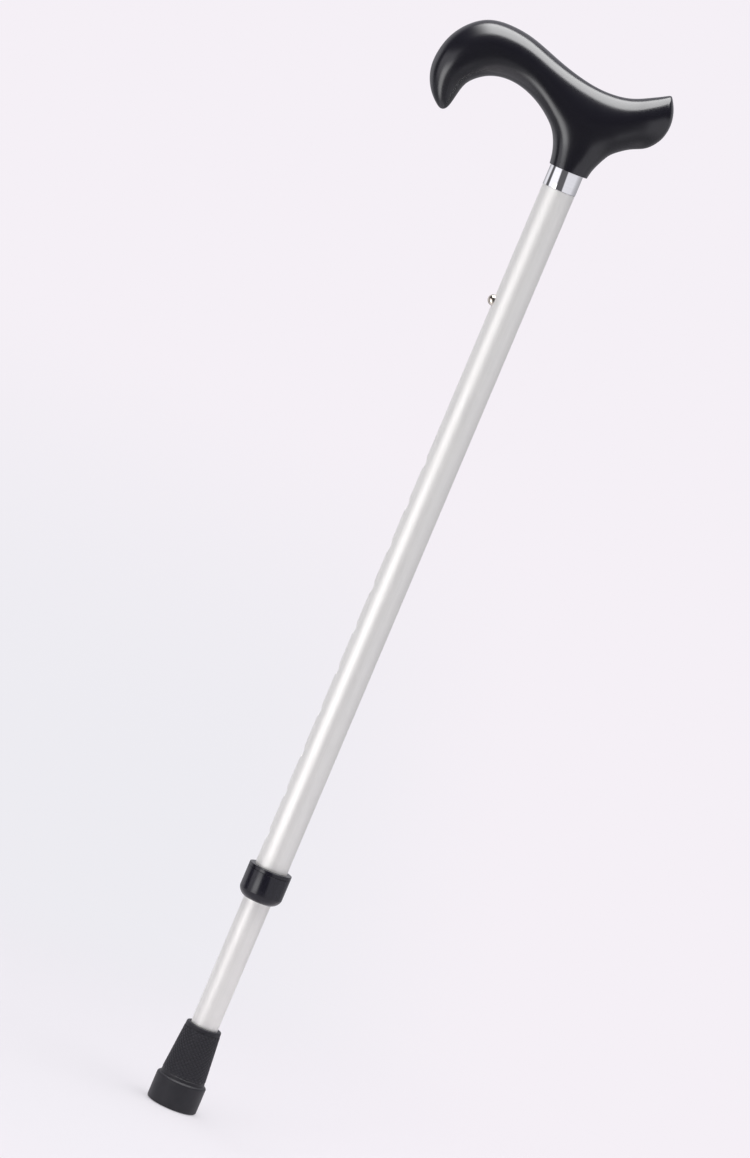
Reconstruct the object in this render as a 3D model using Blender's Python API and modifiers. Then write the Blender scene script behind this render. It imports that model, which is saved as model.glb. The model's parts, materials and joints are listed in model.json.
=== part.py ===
"""Height-adjustable walking cane with a derby handle, upright and at its shortest height.

The origin is the centre of the rubber tip's sole. +Z runs up the shaft, and the nose of the
handle, the spring button and the adjusting holes face -X. All lengths are in metres.
"""

import math

import bmesh
import bpy
import numpy as np

MM = 0.001

# Clearances; those between round pieces are on the radius
FIT_GAP = 0.15 * MM  # between pieces that are pressed, glued or guided
FACE_GAP = 0.3 * MM  # between faces that rest on each other
TUBE_GAP = 0.3 * MM
THREAD_GAP = 0.2 * MM  # between a thread's crest and the other's root
BUTTON_GAP = 0.3 * MM

# Tubes
UPPER_TUBE_RADIUS = 9.5 * MM
UPPER_TUBE_WALL = 1.2 * MM
UPPER_TUBE_LENGTH = 420 * MM
LOWER_TUBE_WALL = 1.2 * MM
SHOWN_LOWER_TUBE = 77.4 * MM  # between the ferrule and the collar

# Storage hole, which holds the button here, and the row of adjusting holes below it
HOLE_RADIUS = 3.5 * MM
FIRST_HOLE_BELOW_STORAGE = 98 * MM
HOLE_PITCH = 25 * MM
LEAST_HOLE_HEIGHT = 20 * MM  # of the lowest hole above the tube's lower end

# Spring button
BUTTON_PROUD = 3.2 * MM
BUTTON_FROM_TUBE_END = 25 * MM
BUTTON_FLANGE = 0.4 * MM
BUTTON_FLANGE_THICKNESS = 0.8 * MM
RIVET_RADIUS = 1.5 * MM
RIVET_TAIL = 0.5 * MM
LEAF_THICKNESS = 0.6 * MM
LEAF_WIDTH = 7 * MM
LEAF_LENGTH = 36 * MM
LEAF_ABOVE_BUTTON = 6 * MM
LEAF_BEND_RADIUS = 2.4 * MM
LEAF_CURL = 1.2 * MM

# Rubber ferrule and its washer
FERRULE_HEIGHT = 48.6 * MM
FERRULE_RIM_WALL = 2.15 * MM
FERRULE_TAPER = 2.8 * MM
FERRULE_SHOULDER = 1.6 * MM
FERRULE_BASE_HEIGHT = 16.2 * MM
SHOULDER_FILLET = 1.2 * MM
STEP_FILLET = 0.3 * MM
SOLE_FILLET = 1.2 * MM
RIM_FILLET = 0.5 * MM
SOLE_THICKNESS = 9.2 * MM
TREAD_GROOVES = 2
TREAD_DEPTH = 1.2 * MM
TREAD_WIDTH = 1.4 * MM
TREAD_INSET = 4.1 * MM
TREAD_PITCH = 3.7 * MM
WASHER_THICKNESS = 1.2 * MM

# Threaded sleeve on the upper tube, split clamping cone and locking collar
FLANGE_THICKNESS = 2 * MM
SLEEVE_GRIP = 9.3 * MM
SLEEVE_WALL = 1 * MM
SLEEVE_LIP = 2 * MM
THREAD_PITCH = 1.5 * MM
THREAD_HEIGHT = 0.55 * MM
THREAD_ROOT = 0.15 * MM
THREAD_TURNS = 3
CLAMP_HEIGHT = 5 * MM
CLAMP_WALL = 1.1 * MM
CLAMP_TAPER = 0.9 * MM
CLAMP_SLIT = 1.2 * MM
COLLAR_WALL = 1.2 * MM
COLLAR_FLOOR = 2.1 * MM
COLLAR_NOSE_HEIGHT = 4.8 * MM
COLLAR_NOSE_BULGE = 0.8 * MM
COLLAR_MOUTH_WIDTH = 0.5 * MM
COLLAR_EDGE = 0.3 * MM

# Guide bush in the lower tube's upper end
BUSH_FLANGE = 2.5 * MM
BUSH_SPIGOT = 12 * MM
BUSH_WALL = 2.6 * MM
STOP_GAP = 16.2 * MM  # between the guide bush and the plug

# Plug in the upper tube, ring, stud and insert
PLUG_DEPTH = 26 * MM
RING_STEP = 0.15 * MM
RING_HEIGHT = 11.1 * MM
RING_EDGE = 0.25 * MM
STUD_RADIUS = 4 * MM
STUD_IN_PLUG = 20 * MM
STUD_IN_HANDLE = 24 * MM
STUD_CHAMFER = 0.6 * MM
INSERT_WALL = 1.85 * MM
INSERT_LENGTH = 20 * MM
INSERT_GROOVE = 0.5 * MM
BORE_ABOVE_STUD = 4 * MM

# Handle, in millimetres above the cut face of its neck. Each section of the grip and of the
# tail runs from its upper or outer point to the one under it, and bulges by its half width.
GRIP_SECTIONS = (
    # outer x, outer height, inner x, inner height, half width
    (-80.6, 5.8, -74.2, 6.4, 3.7),
    (-86.5, 12.0, -72.5, 12.9, 7.2),
    (-90.9, 22.0, -70.6, 20.6, 10.6),
    (-90.8, 34.0, -66.9, 26.0, 12.7),
    (-85.7, 47.3, -60.8, 30.5, 13.5),
    (-73.5, 58.6, -53.0, 33.0, 13.7),
    (-58.5, 61.3, -44.5, 33.0, 13.5),
    (-45.0, 59.5, -36.0, 30.8, 13.1),
    (-32.0, 55.4, -27.5, 26.6, 12.6),
    (-18.0, 51.1, -19.6, 20.6, 12.2),
)
SADDLE_SECTION = (-1.0, 48.1, -1.0, 5.9, 11.8)
TAIL_SECTIONS = (
    (15.0, 49.4, 20.3, 18.6, 11.6),
    (25.5, 53.8, 27.6, 24.0, 10.9),
    (32.5, 57.6, 35.2, 28.0, 9.4),
    (36.7, 58.3, 40.6, 34.8, 6.6),
    (41.5, 52.5, 42.2, 38.8, 4.6),
)
NOSE_PULL = (-76.9, 3.0)  # cage points beyond the nose and the tail, which round their ends
TAIL_PULL = (43.9, 45.5)
TAIL_CREASE = 0.5
NECK_SECTIONS = (
    # left flare past the ring, left height, right flare, right height, flare of half width
    (5.35, 14.8, 7.25, 14.3, 1.95),
    (2.45, 8.1, 4.15, 7.6, 1.65),
    (0.95, 1.0, 2.35, 1.0, 1.45),
    (0.15, -7.0, 1.55, -7.0, 1.35),
)

# Sides of a full turn
ROUND = 48
ROUND_INSIDE = 32
ROUND_BUTTON = 28
ROUND_HOLE = 20
THREAD_STEPS = 24

SHARP_ANGLE = math.radians(35)
RING_DRAW_IN = (4 + 2 * math.cos(math.pi / 4)) / 6  # of an eight-sided ring, once subdivided

# Radii and bores worked out from the sizes above
UPPER_BORE = UPPER_TUBE_RADIUS - UPPER_TUBE_WALL
LOWER_TUBE_RADIUS = UPPER_BORE - TUBE_GAP
LOWER_BORE = LOWER_TUBE_RADIUS - LOWER_TUBE_WALL
GUIDE_BORE = LOWER_TUBE_RADIUS + TUBE_GAP
SLEEVE_RADIUS = UPPER_TUBE_RADIUS + FIT_GAP + SLEEVE_WALL
COLLAR_BORE = SLEEVE_RADIUS + THREAD_HEIGHT + THREAD_GAP
COLLAR_RADIUS = COLLAR_BORE + COLLAR_WALL
RING_RADIUS = UPPER_TUBE_RADIUS + RING_STEP
STUD_BORE = STUD_RADIUS + FIT_GAP
INSERT_RADIUS = STUD_BORE + INSERT_WALL
BUTTON_RADIUS = HOLE_RADIUS - BUTTON_GAP

# Heights above the upper tube's lower end
STORAGE_HOLE_HEIGHT = (
    UPPER_TUBE_LENGTH - PLUG_DEPTH - STOP_GAP - BUSH_FLANGE - FACE_GAP - BUTTON_FROM_TUBE_END
)
HOLES_HEIGHT = STORAGE_HOLE_HEIGHT - FIRST_HOLE_BELOW_STORAGE
HOLE_COUNT = 1 + int((HOLES_HEIGHT - LEAST_HOLE_HEIGHT) / HOLE_PITCH)
COLLAR_TOP = SLEEVE_GRIP - FLANGE_THICKNESS - FACE_GAP
SLEEVE_FOOT = -FACE_GAP - SLEEVE_LIP
CLAMP_TOP = SLEEVE_FOOT - FACE_GAP
COLLAR_SEAT = CLAMP_TOP - CLAMP_HEIGHT - FACE_GAP
COLLAR_FOOT = COLLAR_SEAT - COLLAR_FLOOR

# Heights above the ground
WASHER_FOOT = SOLE_THICKNESS + FACE_GAP
LOWER_TUBE_FOOT = WASHER_FOOT + WASHER_THICKNESS + FACE_GAP
UPPER_TUBE_FOOT = FERRULE_HEIGHT + SHOWN_LOWER_TUBE - COLLAR_FOOT
BUTTON_HEIGHT = UPPER_TUBE_FOOT + STORAGE_HOLE_HEIGHT
LOWER_TUBE_TOP = BUTTON_HEIGHT + BUTTON_FROM_TUBE_END

# Heights above the handle's neck
RING_FOOT = -FACE_GAP - RING_HEIGHT
UPPER_TUBE_TOP = RING_FOOT - FACE_GAP


def clear_scene():
    for obj in list(bpy.data.objects):
        bpy.data.objects.remove(obj, do_unlink=True)


def finish(name, colour, roughness, metallic=0.0):
    material = bpy.data.materials.new(name)
    material.use_nodes = True
    shader = material.node_tree.nodes["Principled BSDF"]
    shader.inputs["Base Color"].default_value = (*colour, 1)
    shader.inputs["Roughness"].default_value = roughness
    shader.inputs["Metallic"].default_value = metallic
    return material


def smooth_by_angle():
    """A node group that shades faces smooth and keeps edges sharper than SHARP_ANGLE."""
    group = bpy.data.node_groups.new("smooth_by_angle", "GeometryNodeTree")
    group.interface.new_socket("Geometry", in_out="INPUT", socket_type="NodeSocketGeometry")
    group.interface.new_socket("Geometry", in_out="OUTPUT", socket_type="NodeSocketGeometry")
    start = group.nodes.new("NodeGroupInput")
    end = group.nodes.new("NodeGroupOutput")
    angle = group.nodes.new("GeometryNodeInputMeshEdgeAngle")
    shallow = group.nodes.new("FunctionNodeCompare")
    shallow.operation = "LESS_EQUAL"
    shallow.inputs["B"].default_value = SHARP_ANGLE
    faces = group.nodes.new("GeometryNodeSetShadeSmooth")
    edges = group.nodes.new("GeometryNodeSetShadeSmooth")
    edges.domain = "EDGE"
    group.links.new(angle.outputs["Unsigned Angle"], shallow.inputs["A"])
    group.links.new(shallow.outputs["Result"], edges.inputs["Shade Smooth"])
    group.links.new(start.outputs["Geometry"], faces.inputs["Geometry"])
    group.links.new(faces.outputs["Geometry"], edges.inputs["Geometry"])
    group.links.new(edges.outputs["Geometry"], end.inputs["Geometry"])
    return group


def add_empty(name, height, collection, parent=None):
    """An empty on the shaft's axis, which pieces that move together hang from."""
    empty = bpy.data.objects.new(name, None)
    empty.empty_display_size = 10 * MM
    empty.parent = parent
    empty.location.z = height
    collection.objects.link(empty)
    return empty


def cut(target, cutter, operation="DIFFERENCE"):
    """Cuts or joins a helper that then hangs from its target, in the same frame."""
    cutter.parent = target
    cutter.hide_render = True
    cutter.display_type = "WIRE"
    bpy.data.collections["cutters"].objects.link(cutter)
    boolean = target.modifiers.new(cutter.name, "BOOLEAN")
    boolean.operation = operation
    boolean.object = cutter


def new_object(name, shape):
    """An object with the mesh that this bmesh holds."""
    mesh = bpy.data.meshes.new(name)
    shape.to_mesh(mesh)
    shape.free()
    return bpy.data.objects.new(name, mesh)


def box(name, size, centre):
    shape = bmesh.new()
    bmesh.ops.create_cube(shape, size=1)
    bmesh.ops.scale(shape, vec=size, verts=shape.verts)
    obj = new_object(name, shape)
    obj.location = centre
    return obj


def cross_rod(name, radius, start, end, height):
    """A cylinder along X between two distances from the shaft's axis."""
    shape = bmesh.new()
    bmesh.ops.create_cone(
        shape, cap_ends=True, segments=ROUND_HOLE, radius1=radius, radius2=radius, depth=end - start
    )
    obj = new_object(name, shape)
    obj.location = ((start + end) / 2, 0, height)
    obj.rotation_euler.y = math.pi / 2
    return obj


def turned(name, profile, closed=True, sides=ROUND):
    """A solid turned about Z from (r, z) points that run down its outer side. An open profile
    starts and ends on the axis."""
    mesh = bpy.data.meshes.new(name)
    edges = [(index, index + 1) for index in range(len(profile) - 1)]
    if closed:
        edges.append((len(profile) - 1, 0))
    mesh.from_pydata([(r, 0, z) for r, z in profile], edges, [])
    obj = bpy.data.objects.new(name, mesh)
    screw = obj.modifiers.new("turn", "SCREW")
    screw.steps = sides
    screw.render_steps = sides
    screw.use_merge_vertices = True
    screw.merge_threshold = 0.01 * MM
    return obj


def arc(centre, radius, start, end, steps):
    """Points on an arc from one angle to another, both ends included."""
    angles = np.linspace(start, end, steps + 1)
    return [(centre[0] + radius * math.cos(a), centre[1] + radius * math.sin(a)) for a in angles]


def filleted(corners, steps=2):
    """Points round a closed outline of (r, z) or (r, z, fillet radius) corners. Where two
    fillets would meet on an edge, each takes its share of it."""
    points = []
    for index, corner in enumerate(corners):
        if len(corner) == 2:
            points.append(corner)
            continue
        here = np.array(corner[:2])
        radius = corner[2]
        sides = []
        room = math.inf
        for other in (corners[index - 1], corners[(index + 1) % len(corners)]):
            side = np.array(other[:2]) - here
            length = np.linalg.norm(side)
            share = radius / (radius + (other[2] if len(other) == 3 else 0))
            room = min(room, 0.98 * length * share)
            sides.append(side / length)
        half_angle = math.acos(sides[0] @ sides[1]) / 2
        radius = min(radius, room * math.tan(half_angle))
        inward = (sides[0] + sides[1]) / np.linalg.norm(sides[0] + sides[1])
        centre = here + inward * radius / math.sin(half_angle)
        reach = radius / math.tan(half_angle)
        spokes = [here + side * reach - centre for side in sides]
        first, last = (math.atan2(spoke[1], spoke[0]) for spoke in spokes)
        turn = (last - first + math.pi) % math.tau - math.pi
        points += arc(centre, radius, first, first + turn, steps)
    return points


def bulged(start, end, rise, steps=6):
    """Points between two corners on an arc that stands out to the left of the way from start
    to end."""
    start, end = np.array(start), np.array(end)
    half_chord = np.linalg.norm(end - start) / 2
    left = np.array((start[1] - end[1], end[0] - start[0])) / (2 * half_chord)
    radius = (half_chord**2 + rise**2) / (2 * rise)
    centre = (start + end) / 2 + left * (rise - radius)
    middle = math.atan2(left[1], left[0])
    reach = math.asin(half_chord / radius)
    return arc(centre, radius, middle + reach, middle - reach, steps)[1:-1]


def thread_ridge(name, radius, foot, phase=0.0):
    """A right-hand helical ridge of diamond section, which thins out at both ends."""
    steps = THREAD_STEPS * THREAD_TURNS
    run_out = THREAD_STEPS // 4
    curve = bpy.data.curves.new(name, "CURVE")
    curve.dimensions = "3D"
    curve.twist_mode = "Z_UP"
    curve.bevel_depth = THREAD_HEIGHT + THREAD_ROOT
    curve.bevel_resolution = 0
    curve.use_fill_caps = True
    spline = curve.splines.new("POLY")
    spline.points.add(steps)
    for step, point in enumerate(spline.points):
        angle = math.tau * step / THREAD_STEPS + phase
        height = foot + THREAD_PITCH * step / THREAD_STEPS
        point.co = (radius * math.cos(angle), radius * math.sin(angle), height, 1)
        point.radius = min(1, 0.4 + min(step, steps - step) / run_out)
    path = bpy.data.objects.new(name + "_path", curve)
    bpy.context.scene.collection.objects.link(path)
    graph = bpy.context.evaluated_depsgraph_get()
    shape = bmesh.new()
    shape.from_mesh(bpy.data.meshes.new_from_object(path.evaluated_get(graph)))
    bmesh.ops.remove_doubles(shape, verts=shape.verts, dist=0.001 * MM)
    bmesh.ops.recalc_face_normals(shape, faces=shape.faces)
    ridge = new_object(name, shape)
    ridge.matrix_world = path.matrix_world
    bpy.data.objects.remove(path)
    return ridge


def spline_cage(points):
    """The control points of the uniform cubic spline that passes through these points."""
    count = len(points)
    weights = np.eye(count)
    for row in range(1, count - 1):
        weights[row, row - 1 : row + 2] = (1 / 6, 4 / 6, 1 / 6)
    return np.linalg.solve(weights, points)


def half_ring(cage, first, last, half_width):
    """Five cage vertices from first to last round the +Y side of an oval section. They stand
    out from the oval by as much as the subdivided surface draws in."""
    centre = (first + last) / 2
    reach = (first - last) / 2 / RING_DRAW_IN
    ring = []
    for step in range(5):
        x, z = centre + reach * math.cos(step * math.pi / 4)
        y = half_width * math.sin(step * math.pi / 4) / RING_DRAW_IN
        ring.append(cage.verts.new((x, y if step % 4 else 0, z)))
    return ring


def skin(cage, first, second):
    for side in range(min(len(first), len(second)) - 1):
        cage.faces.new((first[side], first[side + 1], second[side + 1], second[side]))


def cap(cage, ring, tip):
    point = cage.verts.new((tip[0], 0, tip[1]))
    cage.faces.new((point, ring[2], ring[1], ring[0]))
    cage.faces.new((point, ring[4], ring[3], ring[2]))


def handle_cage():
    """The +Y half of the handle's cage. Eight-sided rings run from the nose over the saddle to
    the tail, and the neck's rings hang from the gap that the saddle's open ring leaves."""
    grip = np.array(GRIP_SECTIONS) * MM
    saddle = np.array(SADDLE_SECTION) * MM
    tail = np.array(TAIL_SECTIONS) * MM
    neck = np.array(NECK_SECTIONS) * MM + (RING_RADIUS, 0, RING_RADIUS, 0, RING_RADIUS)
    neck[:, 0] *= -1
    nose_pull = np.array(NOSE_PULL) * MM
    tail_pull = np.array(TAIL_PULL) * MM

    top = spline_cage([nose_pull, *grip[:, :2], saddle[:2], *tail[:, :2], tail_pull])
    left = spline_cage([nose_pull, *grip[:, 2:4], *neck[:, :2]])
    right = spline_cage([tail_pull, *tail[::-1, 2:4], *neck[:, 2:4]])
    grips = len(grip)
    tails = len(tail)

    cage = bmesh.new()
    rings = [
        half_ring(cage, *ends) for ends in zip(top[1 : grips + 1], left[1 : grips + 1], grip[:, 4])
    ]
    saddle_ring = half_ring(cage, top[grips + 1], saddle[2:4], saddle[4])
    cage.verts.remove(saddle_ring.pop())
    saddle_ring[3].co.y = saddle_ring[2].co.y
    tail_rings = [
        half_ring(cage, *ends) for ends in zip(top[grips + 2 : -1], right[tails:0:-1], tail[:, 4])
    ]
    neck_rings = [
        half_ring(cage, *ends) for ends in zip(left[grips + 1 :], right[tails + 1 :], neck[:, 4])
    ]
    rim = [*rings[-1][:2:-1], saddle_ring[3], *tail_rings[0][3:]]

    grip_rings = [*rings, saddle_ring, *tail_rings]
    for first, second in zip(grip_rings, grip_rings[1:]):
        skin(cage, first, second)
    for first, second in zip([rim, *neck_rings], neck_rings):
        skin(cage, first, second)
    cap(cage, rings[0], nose_pull)
    cap(cage, tail_rings[-1], tail_pull)
    cap(cage, neck_rings[-1], (left[-1] + right[-1]) / 2)

    crease = cage.edges.layers.float.new("crease_edge")
    brow = tail_rings[-2]
    cage.edges.get(brow[0:2])[crease] = TAIL_CREASE
    cage.edges.get(brow[1:3])[crease] = TAIL_CREASE / 2
    bmesh.ops.recalc_face_normals(cage, faces=cage.faces)
    return cage


def handle():
    obj = new_object("handle", handle_cage())
    halves = obj.modifiers.new("halves", "MIRROR")
    halves.use_axis = (False, True, False)
    halves.use_clip = True
    halves.merge_threshold = 0.05 * MM
    surface = obj.modifiers.new("surface", "SUBSURF")
    surface.levels = 2
    surface.render_levels = 2
    span = 6 * RING_RADIUS
    cut(obj, box("neck_end", (span, span, span), (0, 0, -span / 2)))
    bore = INSERT_RADIUS + FIT_GAP
    top = STUD_IN_HANDLE + BORE_ABOVE_STUD
    foot = -span / 4
    cut(
        obj,
        turned(
            "handle_bore",
            [(0, top), (bore, top), (bore, foot), (0, foot)],
            closed=False,
            sides=ROUND_INSIDE,
        ),
    )
    return obj


def threaded_insert():
    waist = INSERT_RADIUS - INSERT_GROOVE
    third = INSERT_LENGTH / 3
    return turned(
        "threaded_insert",
        [
            (INSERT_RADIUS, INSERT_LENGTH),
            (INSERT_RADIUS, 2 * third),
            (waist, 2 * third - INSERT_GROOVE),
            (waist, third + INSERT_GROOVE),
            (INSERT_RADIUS, third),
            (INSERT_RADIUS, 0),
            (STUD_BORE, 0),
            (STUD_BORE, INSERT_LENGTH),
        ],
        sides=ROUND_INSIDE,
    )


def handle_stud():
    foot = UPPER_TUBE_TOP - STUD_IN_PLUG
    tip = STUD_RADIUS - STUD_CHAMFER
    return turned(
        "handle_stud",
        [
            (0, STUD_IN_HANDLE),
            (tip, STUD_IN_HANDLE),
            (STUD_RADIUS, STUD_IN_HANDLE - STUD_CHAMFER),
            (STUD_RADIUS, foot + STUD_CHAMFER),
            (tip, foot),
            (0, foot),
        ],
        closed=False,
        sides=ROUND_INSIDE,
    )


def chrome_ring():
    return turned(
        "chrome_ring",
        filleted(
            [
                (RING_RADIUS, -FACE_GAP, RING_EDGE),
                (RING_RADIUS, RING_FOOT, RING_EDGE),
                (UPPER_BORE, RING_FOOT),
                (UPPER_BORE, -FACE_GAP),
            ]
        ),
    )


def tube_plug():
    radius = UPPER_BORE - FIT_GAP
    foot = UPPER_TUBE_TOP - PLUG_DEPTH
    return turned(
        "tube_plug",
        [
            (radius, -FACE_GAP),
            (radius, foot + STUD_CHAMFER),
            (radius - STUD_CHAMFER, foot),
            (STUD_BORE, foot),
            (STUD_BORE, -FACE_GAP),
        ],
        sides=ROUND_INSIDE,
    )


def tube(name, radius, bore, foot, top):
    return turned(name, [(radius, top), (radius, foot), (bore, foot), (bore, top)])


def upper_tube():
    obj = tube("upper_tube", UPPER_TUBE_RADIUS, UPPER_BORE, 0, UPPER_TUBE_LENGTH)
    heights = [STORAGE_HOLE_HEIGHT]
    heights += [HOLES_HEIGHT - index * HOLE_PITCH for index in range(HOLE_COUNT)]
    for index, height in enumerate(heights):
        hole = cross_rod(
            f"hole_{index}", HOLE_RADIUS, -2 * UPPER_TUBE_RADIUS, -UPPER_BORE / 2, height
        )
        cut(obj, hole)
    return obj


def lower_tube():
    obj = tube("lower_tube", LOWER_TUBE_RADIUS, LOWER_BORE, LOWER_TUBE_FOOT, LOWER_TUBE_TOP)
    hole = cross_rod(
        "button_hole", HOLE_RADIUS, -2 * LOWER_TUBE_RADIUS, -LOWER_BORE / 2, BUTTON_HEIGHT
    )
    cut(obj, hole)
    return obj


def guide_bush():
    foot = LOWER_TUBE_TOP + FACE_GAP
    flange = UPPER_BORE - FIT_GAP
    spigot = LOWER_BORE - FIT_GAP
    bore = spigot - BUSH_WALL
    return turned(
        "guide_bush",
        [
            (flange, foot + BUSH_FLANGE),
            (flange, foot),
            (spigot, foot),
            (spigot, foot - BUSH_SPIGOT),
            (bore, foot - BUSH_SPIGOT),
            (bore, foot + BUSH_FLANGE),
        ],
        sides=ROUND_INSIDE,
    )


def thread_foot(thread_top):
    """The height of a ridge's lower end, where it ends just under this height."""
    return thread_top - FACE_GAP - THREAD_HEIGHT - THREAD_TURNS * THREAD_PITCH


def clamp_sleeve():
    """The flanged sleeve that is fixed on the upper tube's lower end."""
    socket = UPPER_TUBE_RADIUS + FIT_GAP
    flange_foot = SLEEVE_GRIP - FLANGE_THICKNESS
    obj = turned(
        "clamp_sleeve",
        filleted(
            [
                (COLLAR_RADIUS, SLEEVE_GRIP, COLLAR_EDGE),
                (COLLAR_RADIUS, flange_foot),
                (SLEEVE_RADIUS, flange_foot),
                (SLEEVE_RADIUS, SLEEVE_FOOT),
                (GUIDE_BORE, SLEEVE_FOOT),
                (GUIDE_BORE, -FACE_GAP),
                (socket, -FACE_GAP),
                (socket, SLEEVE_GRIP),
            ]
        ),
    )
    ridge = thread_ridge("sleeve_thread", SLEEVE_RADIUS - THREAD_ROOT, thread_foot(flange_foot))
    cut(obj, ridge, "UNION")
    return obj


def clamp_ring():
    """The split cone between the sleeve's lower end and the collar's seat."""
    foot_radius = GUIDE_BORE + CLAMP_WALL
    obj = turned(
        "clamp_ring",
        [
            (foot_radius + CLAMP_TAPER, 0),
            (foot_radius, -CLAMP_HEIGHT),
            (GUIDE_BORE, -CLAMP_HEIGHT),
            (GUIDE_BORE, 0),
        ],
        sides=ROUND_INSIDE,
    )
    depth = 2 * (CLAMP_WALL + CLAMP_TAPER)
    slit_size = (2 * depth, CLAMP_SLIT, 2 * CLAMP_HEIGHT)
    cut(obj, box("clamp_slit", slit_size, (GUIDE_BORE, 0, -CLAMP_HEIGHT / 2)))
    return obj


def locking_collar():
    """The nut under the sleeve's flange, with its thread, conical seat and rounded lower end,
    in heights above its top."""
    seat_radius = GUIDE_BORE + CLAMP_WALL + FACE_GAP
    seat_top = CLAMP_TOP - COLLAR_TOP
    seat = COLLAR_SEAT - COLLAR_TOP
    foot = COLLAR_FOOT - COLLAR_TOP
    nose_top = (COLLAR_RADIUS, foot + COLLAR_NOSE_HEIGHT)
    nose_foot = (GUIDE_BORE + COLLAR_MOUTH_WIDTH, foot)
    obj = turned(
        "locking_collar",
        filleted(
            [
                (COLLAR_RADIUS, 0, COLLAR_EDGE),
                nose_top,
                *bulged(nose_top, nose_foot, COLLAR_NOSE_BULGE),
                nose_foot,
                (GUIDE_BORE, foot),
                (GUIDE_BORE, seat),
                (seat_radius, seat),
                (seat_radius + CLAMP_TAPER, seat_top),
                (COLLAR_BORE, seat_top),
                (COLLAR_BORE, 0),
            ]
        ),
    )
    half_a_pitch_off = math.tau * (0.5 - FACE_GAP / THREAD_PITCH)
    ridge = thread_ridge(
        "collar_thread", COLLAR_BORE + THREAD_ROOT, thread_foot(0), half_a_pitch_off
    )
    cut(obj, ridge, "UNION")
    return obj


def leaf_face():
    """How far the leaf's outer face is from the shaft's axis. The button's flange lies on it
    and clears the round bore."""
    flange_radius = HOLE_RADIUS + BUTTON_FLANGE
    flange_face = math.sqrt((LOWER_BORE - FACE_GAP) ** 2 - flange_radius**2)
    return flange_face - BUTTON_FLANGE_THICKNESS - FACE_GAP


def snap_button():
    """The button, turned about the axis along which it is pressed, with its rivet tail."""
    flange_radius = HOLE_RADIUS + BUTTON_FLANGE
    flange_foot = leaf_face() + FACE_GAP
    flange_top = flange_foot + BUTTON_FLANGE_THICKNESS
    tail = leaf_face() - LEAF_THICKNESS - RIVET_TAIL
    dome_foot = UPPER_TUBE_RADIUS + BUTTON_PROUD - BUTTON_RADIUS
    dome = arc((0, dome_foot), BUTTON_RADIUS, math.pi / 2, 0, 8)
    obj = turned(
        "snap_button",
        [
            *dome,
            (BUTTON_RADIUS, flange_top),
            (flange_radius, flange_top),
            (flange_radius, flange_foot),
            (RIVET_RADIUS, flange_foot),
            (RIVET_RADIUS, tail),
            (0, tail),
        ],
        closed=False,
        sides=ROUND_BUTTON,
    )
    obj.rotation_euler.y = -math.pi / 2
    return obj


def button_spring():
    """A V-shaped leaf: one leg carries the button, the other bears on the tube's far wall."""
    half_leaf = LEAF_THICKNESS / 2
    near = half_leaf - leaf_face()
    far = math.sqrt((LOWER_BORE - FACE_GAP) ** 2 - (LEAF_WIDTH / 2) ** 2) - half_leaf
    bend = ((near + far) / 2, LEAF_ABOVE_BUTTON - LEAF_LENGTH)
    path = [
        (near, LEAF_ABOVE_BUTTON),
        (near, -LEAF_ABOVE_BUTTON),
        *arc(bend, LEAF_BEND_RADIUS, math.pi, math.tau, 8),
        (far, LEAF_ABOVE_BUTTON / 2),
        (far - LEAF_CURL, LEAF_ABOVE_BUTTON),
    ]
    ribbon = bmesh.new()
    edge = [ribbon.verts.new((x, -LEAF_WIDTH / 2, z)) for x, z in path]
    for first, second in zip(edge, edge[1:]):
        ribbon.edges.new((first, second))
    swept = bmesh.ops.extrude_edge_only(ribbon, edges=ribbon.edges)
    far_edge = [item for item in swept["geom"] if isinstance(item, bmesh.types.BMVert)]
    bmesh.ops.translate(ribbon, vec=(0, LEAF_WIDTH, 0), verts=far_edge)
    bmesh.ops.recalc_face_normals(ribbon, faces=ribbon.faces)
    obj = new_object("button_spring", ribbon)
    gauge = obj.modifiers.new("gauge", "SOLIDIFY")
    gauge.thickness = LEAF_THICKNESS
    gauge.offset = 0
    hole = cross_rod(
        "rivet_hole", RIVET_RADIUS + FACE_GAP, near - LEAF_THICKNESS, near + LEAF_THICKNESS, 0
    )
    cut(obj, hole)
    return obj


def ferrule():
    """The rubber tip, with its socket for the lower tube and round tread grooves."""
    socket = LOWER_TUBE_RADIUS + FIT_GAP
    rim = socket + FERRULE_RIM_WALL
    body = rim + FERRULE_TAPER
    base = body + FERRULE_SHOULDER
    tread = []
    for index in range(TREAD_GROOVES):
        middle = base - TREAD_INSET - index * TREAD_PITCH
        outer = middle + TREAD_WIDTH / 2
        inner = middle - TREAD_WIDTH / 2
        tread += [(outer, 0), (outer, TREAD_DEPTH), (inner, TREAD_DEPTH), (inner, 0)]
    return turned(
        "ferrule",
        filleted(
            [
                (0, SOLE_THICKNESS),
                (socket, SOLE_THICKNESS),
                (socket, FERRULE_HEIGHT, RIM_FILLET),
                (rim, FERRULE_HEIGHT, RIM_FILLET),
                (body, FERRULE_BASE_HEIGHT, STEP_FILLET),
                (base, FERRULE_BASE_HEIGHT, SHOULDER_FILLET),
                (base, 0, SOLE_FILLET),
                *tread,
                (0, 0),
            ],
            steps=3,
        ),
        closed=False,
    )


def ferrule_washer():
    radius = LOWER_TUBE_RADIUS - FIT_GAP
    top = WASHER_FOOT + WASHER_THICKNESS
    return turned(
        "ferrule_washer",
        [(0, top), (radius, top), (radius, WASHER_FOOT), (0, WASHER_FOOT)],
        closed=False,
        sides=ROUND_INSIDE,
    )


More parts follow.
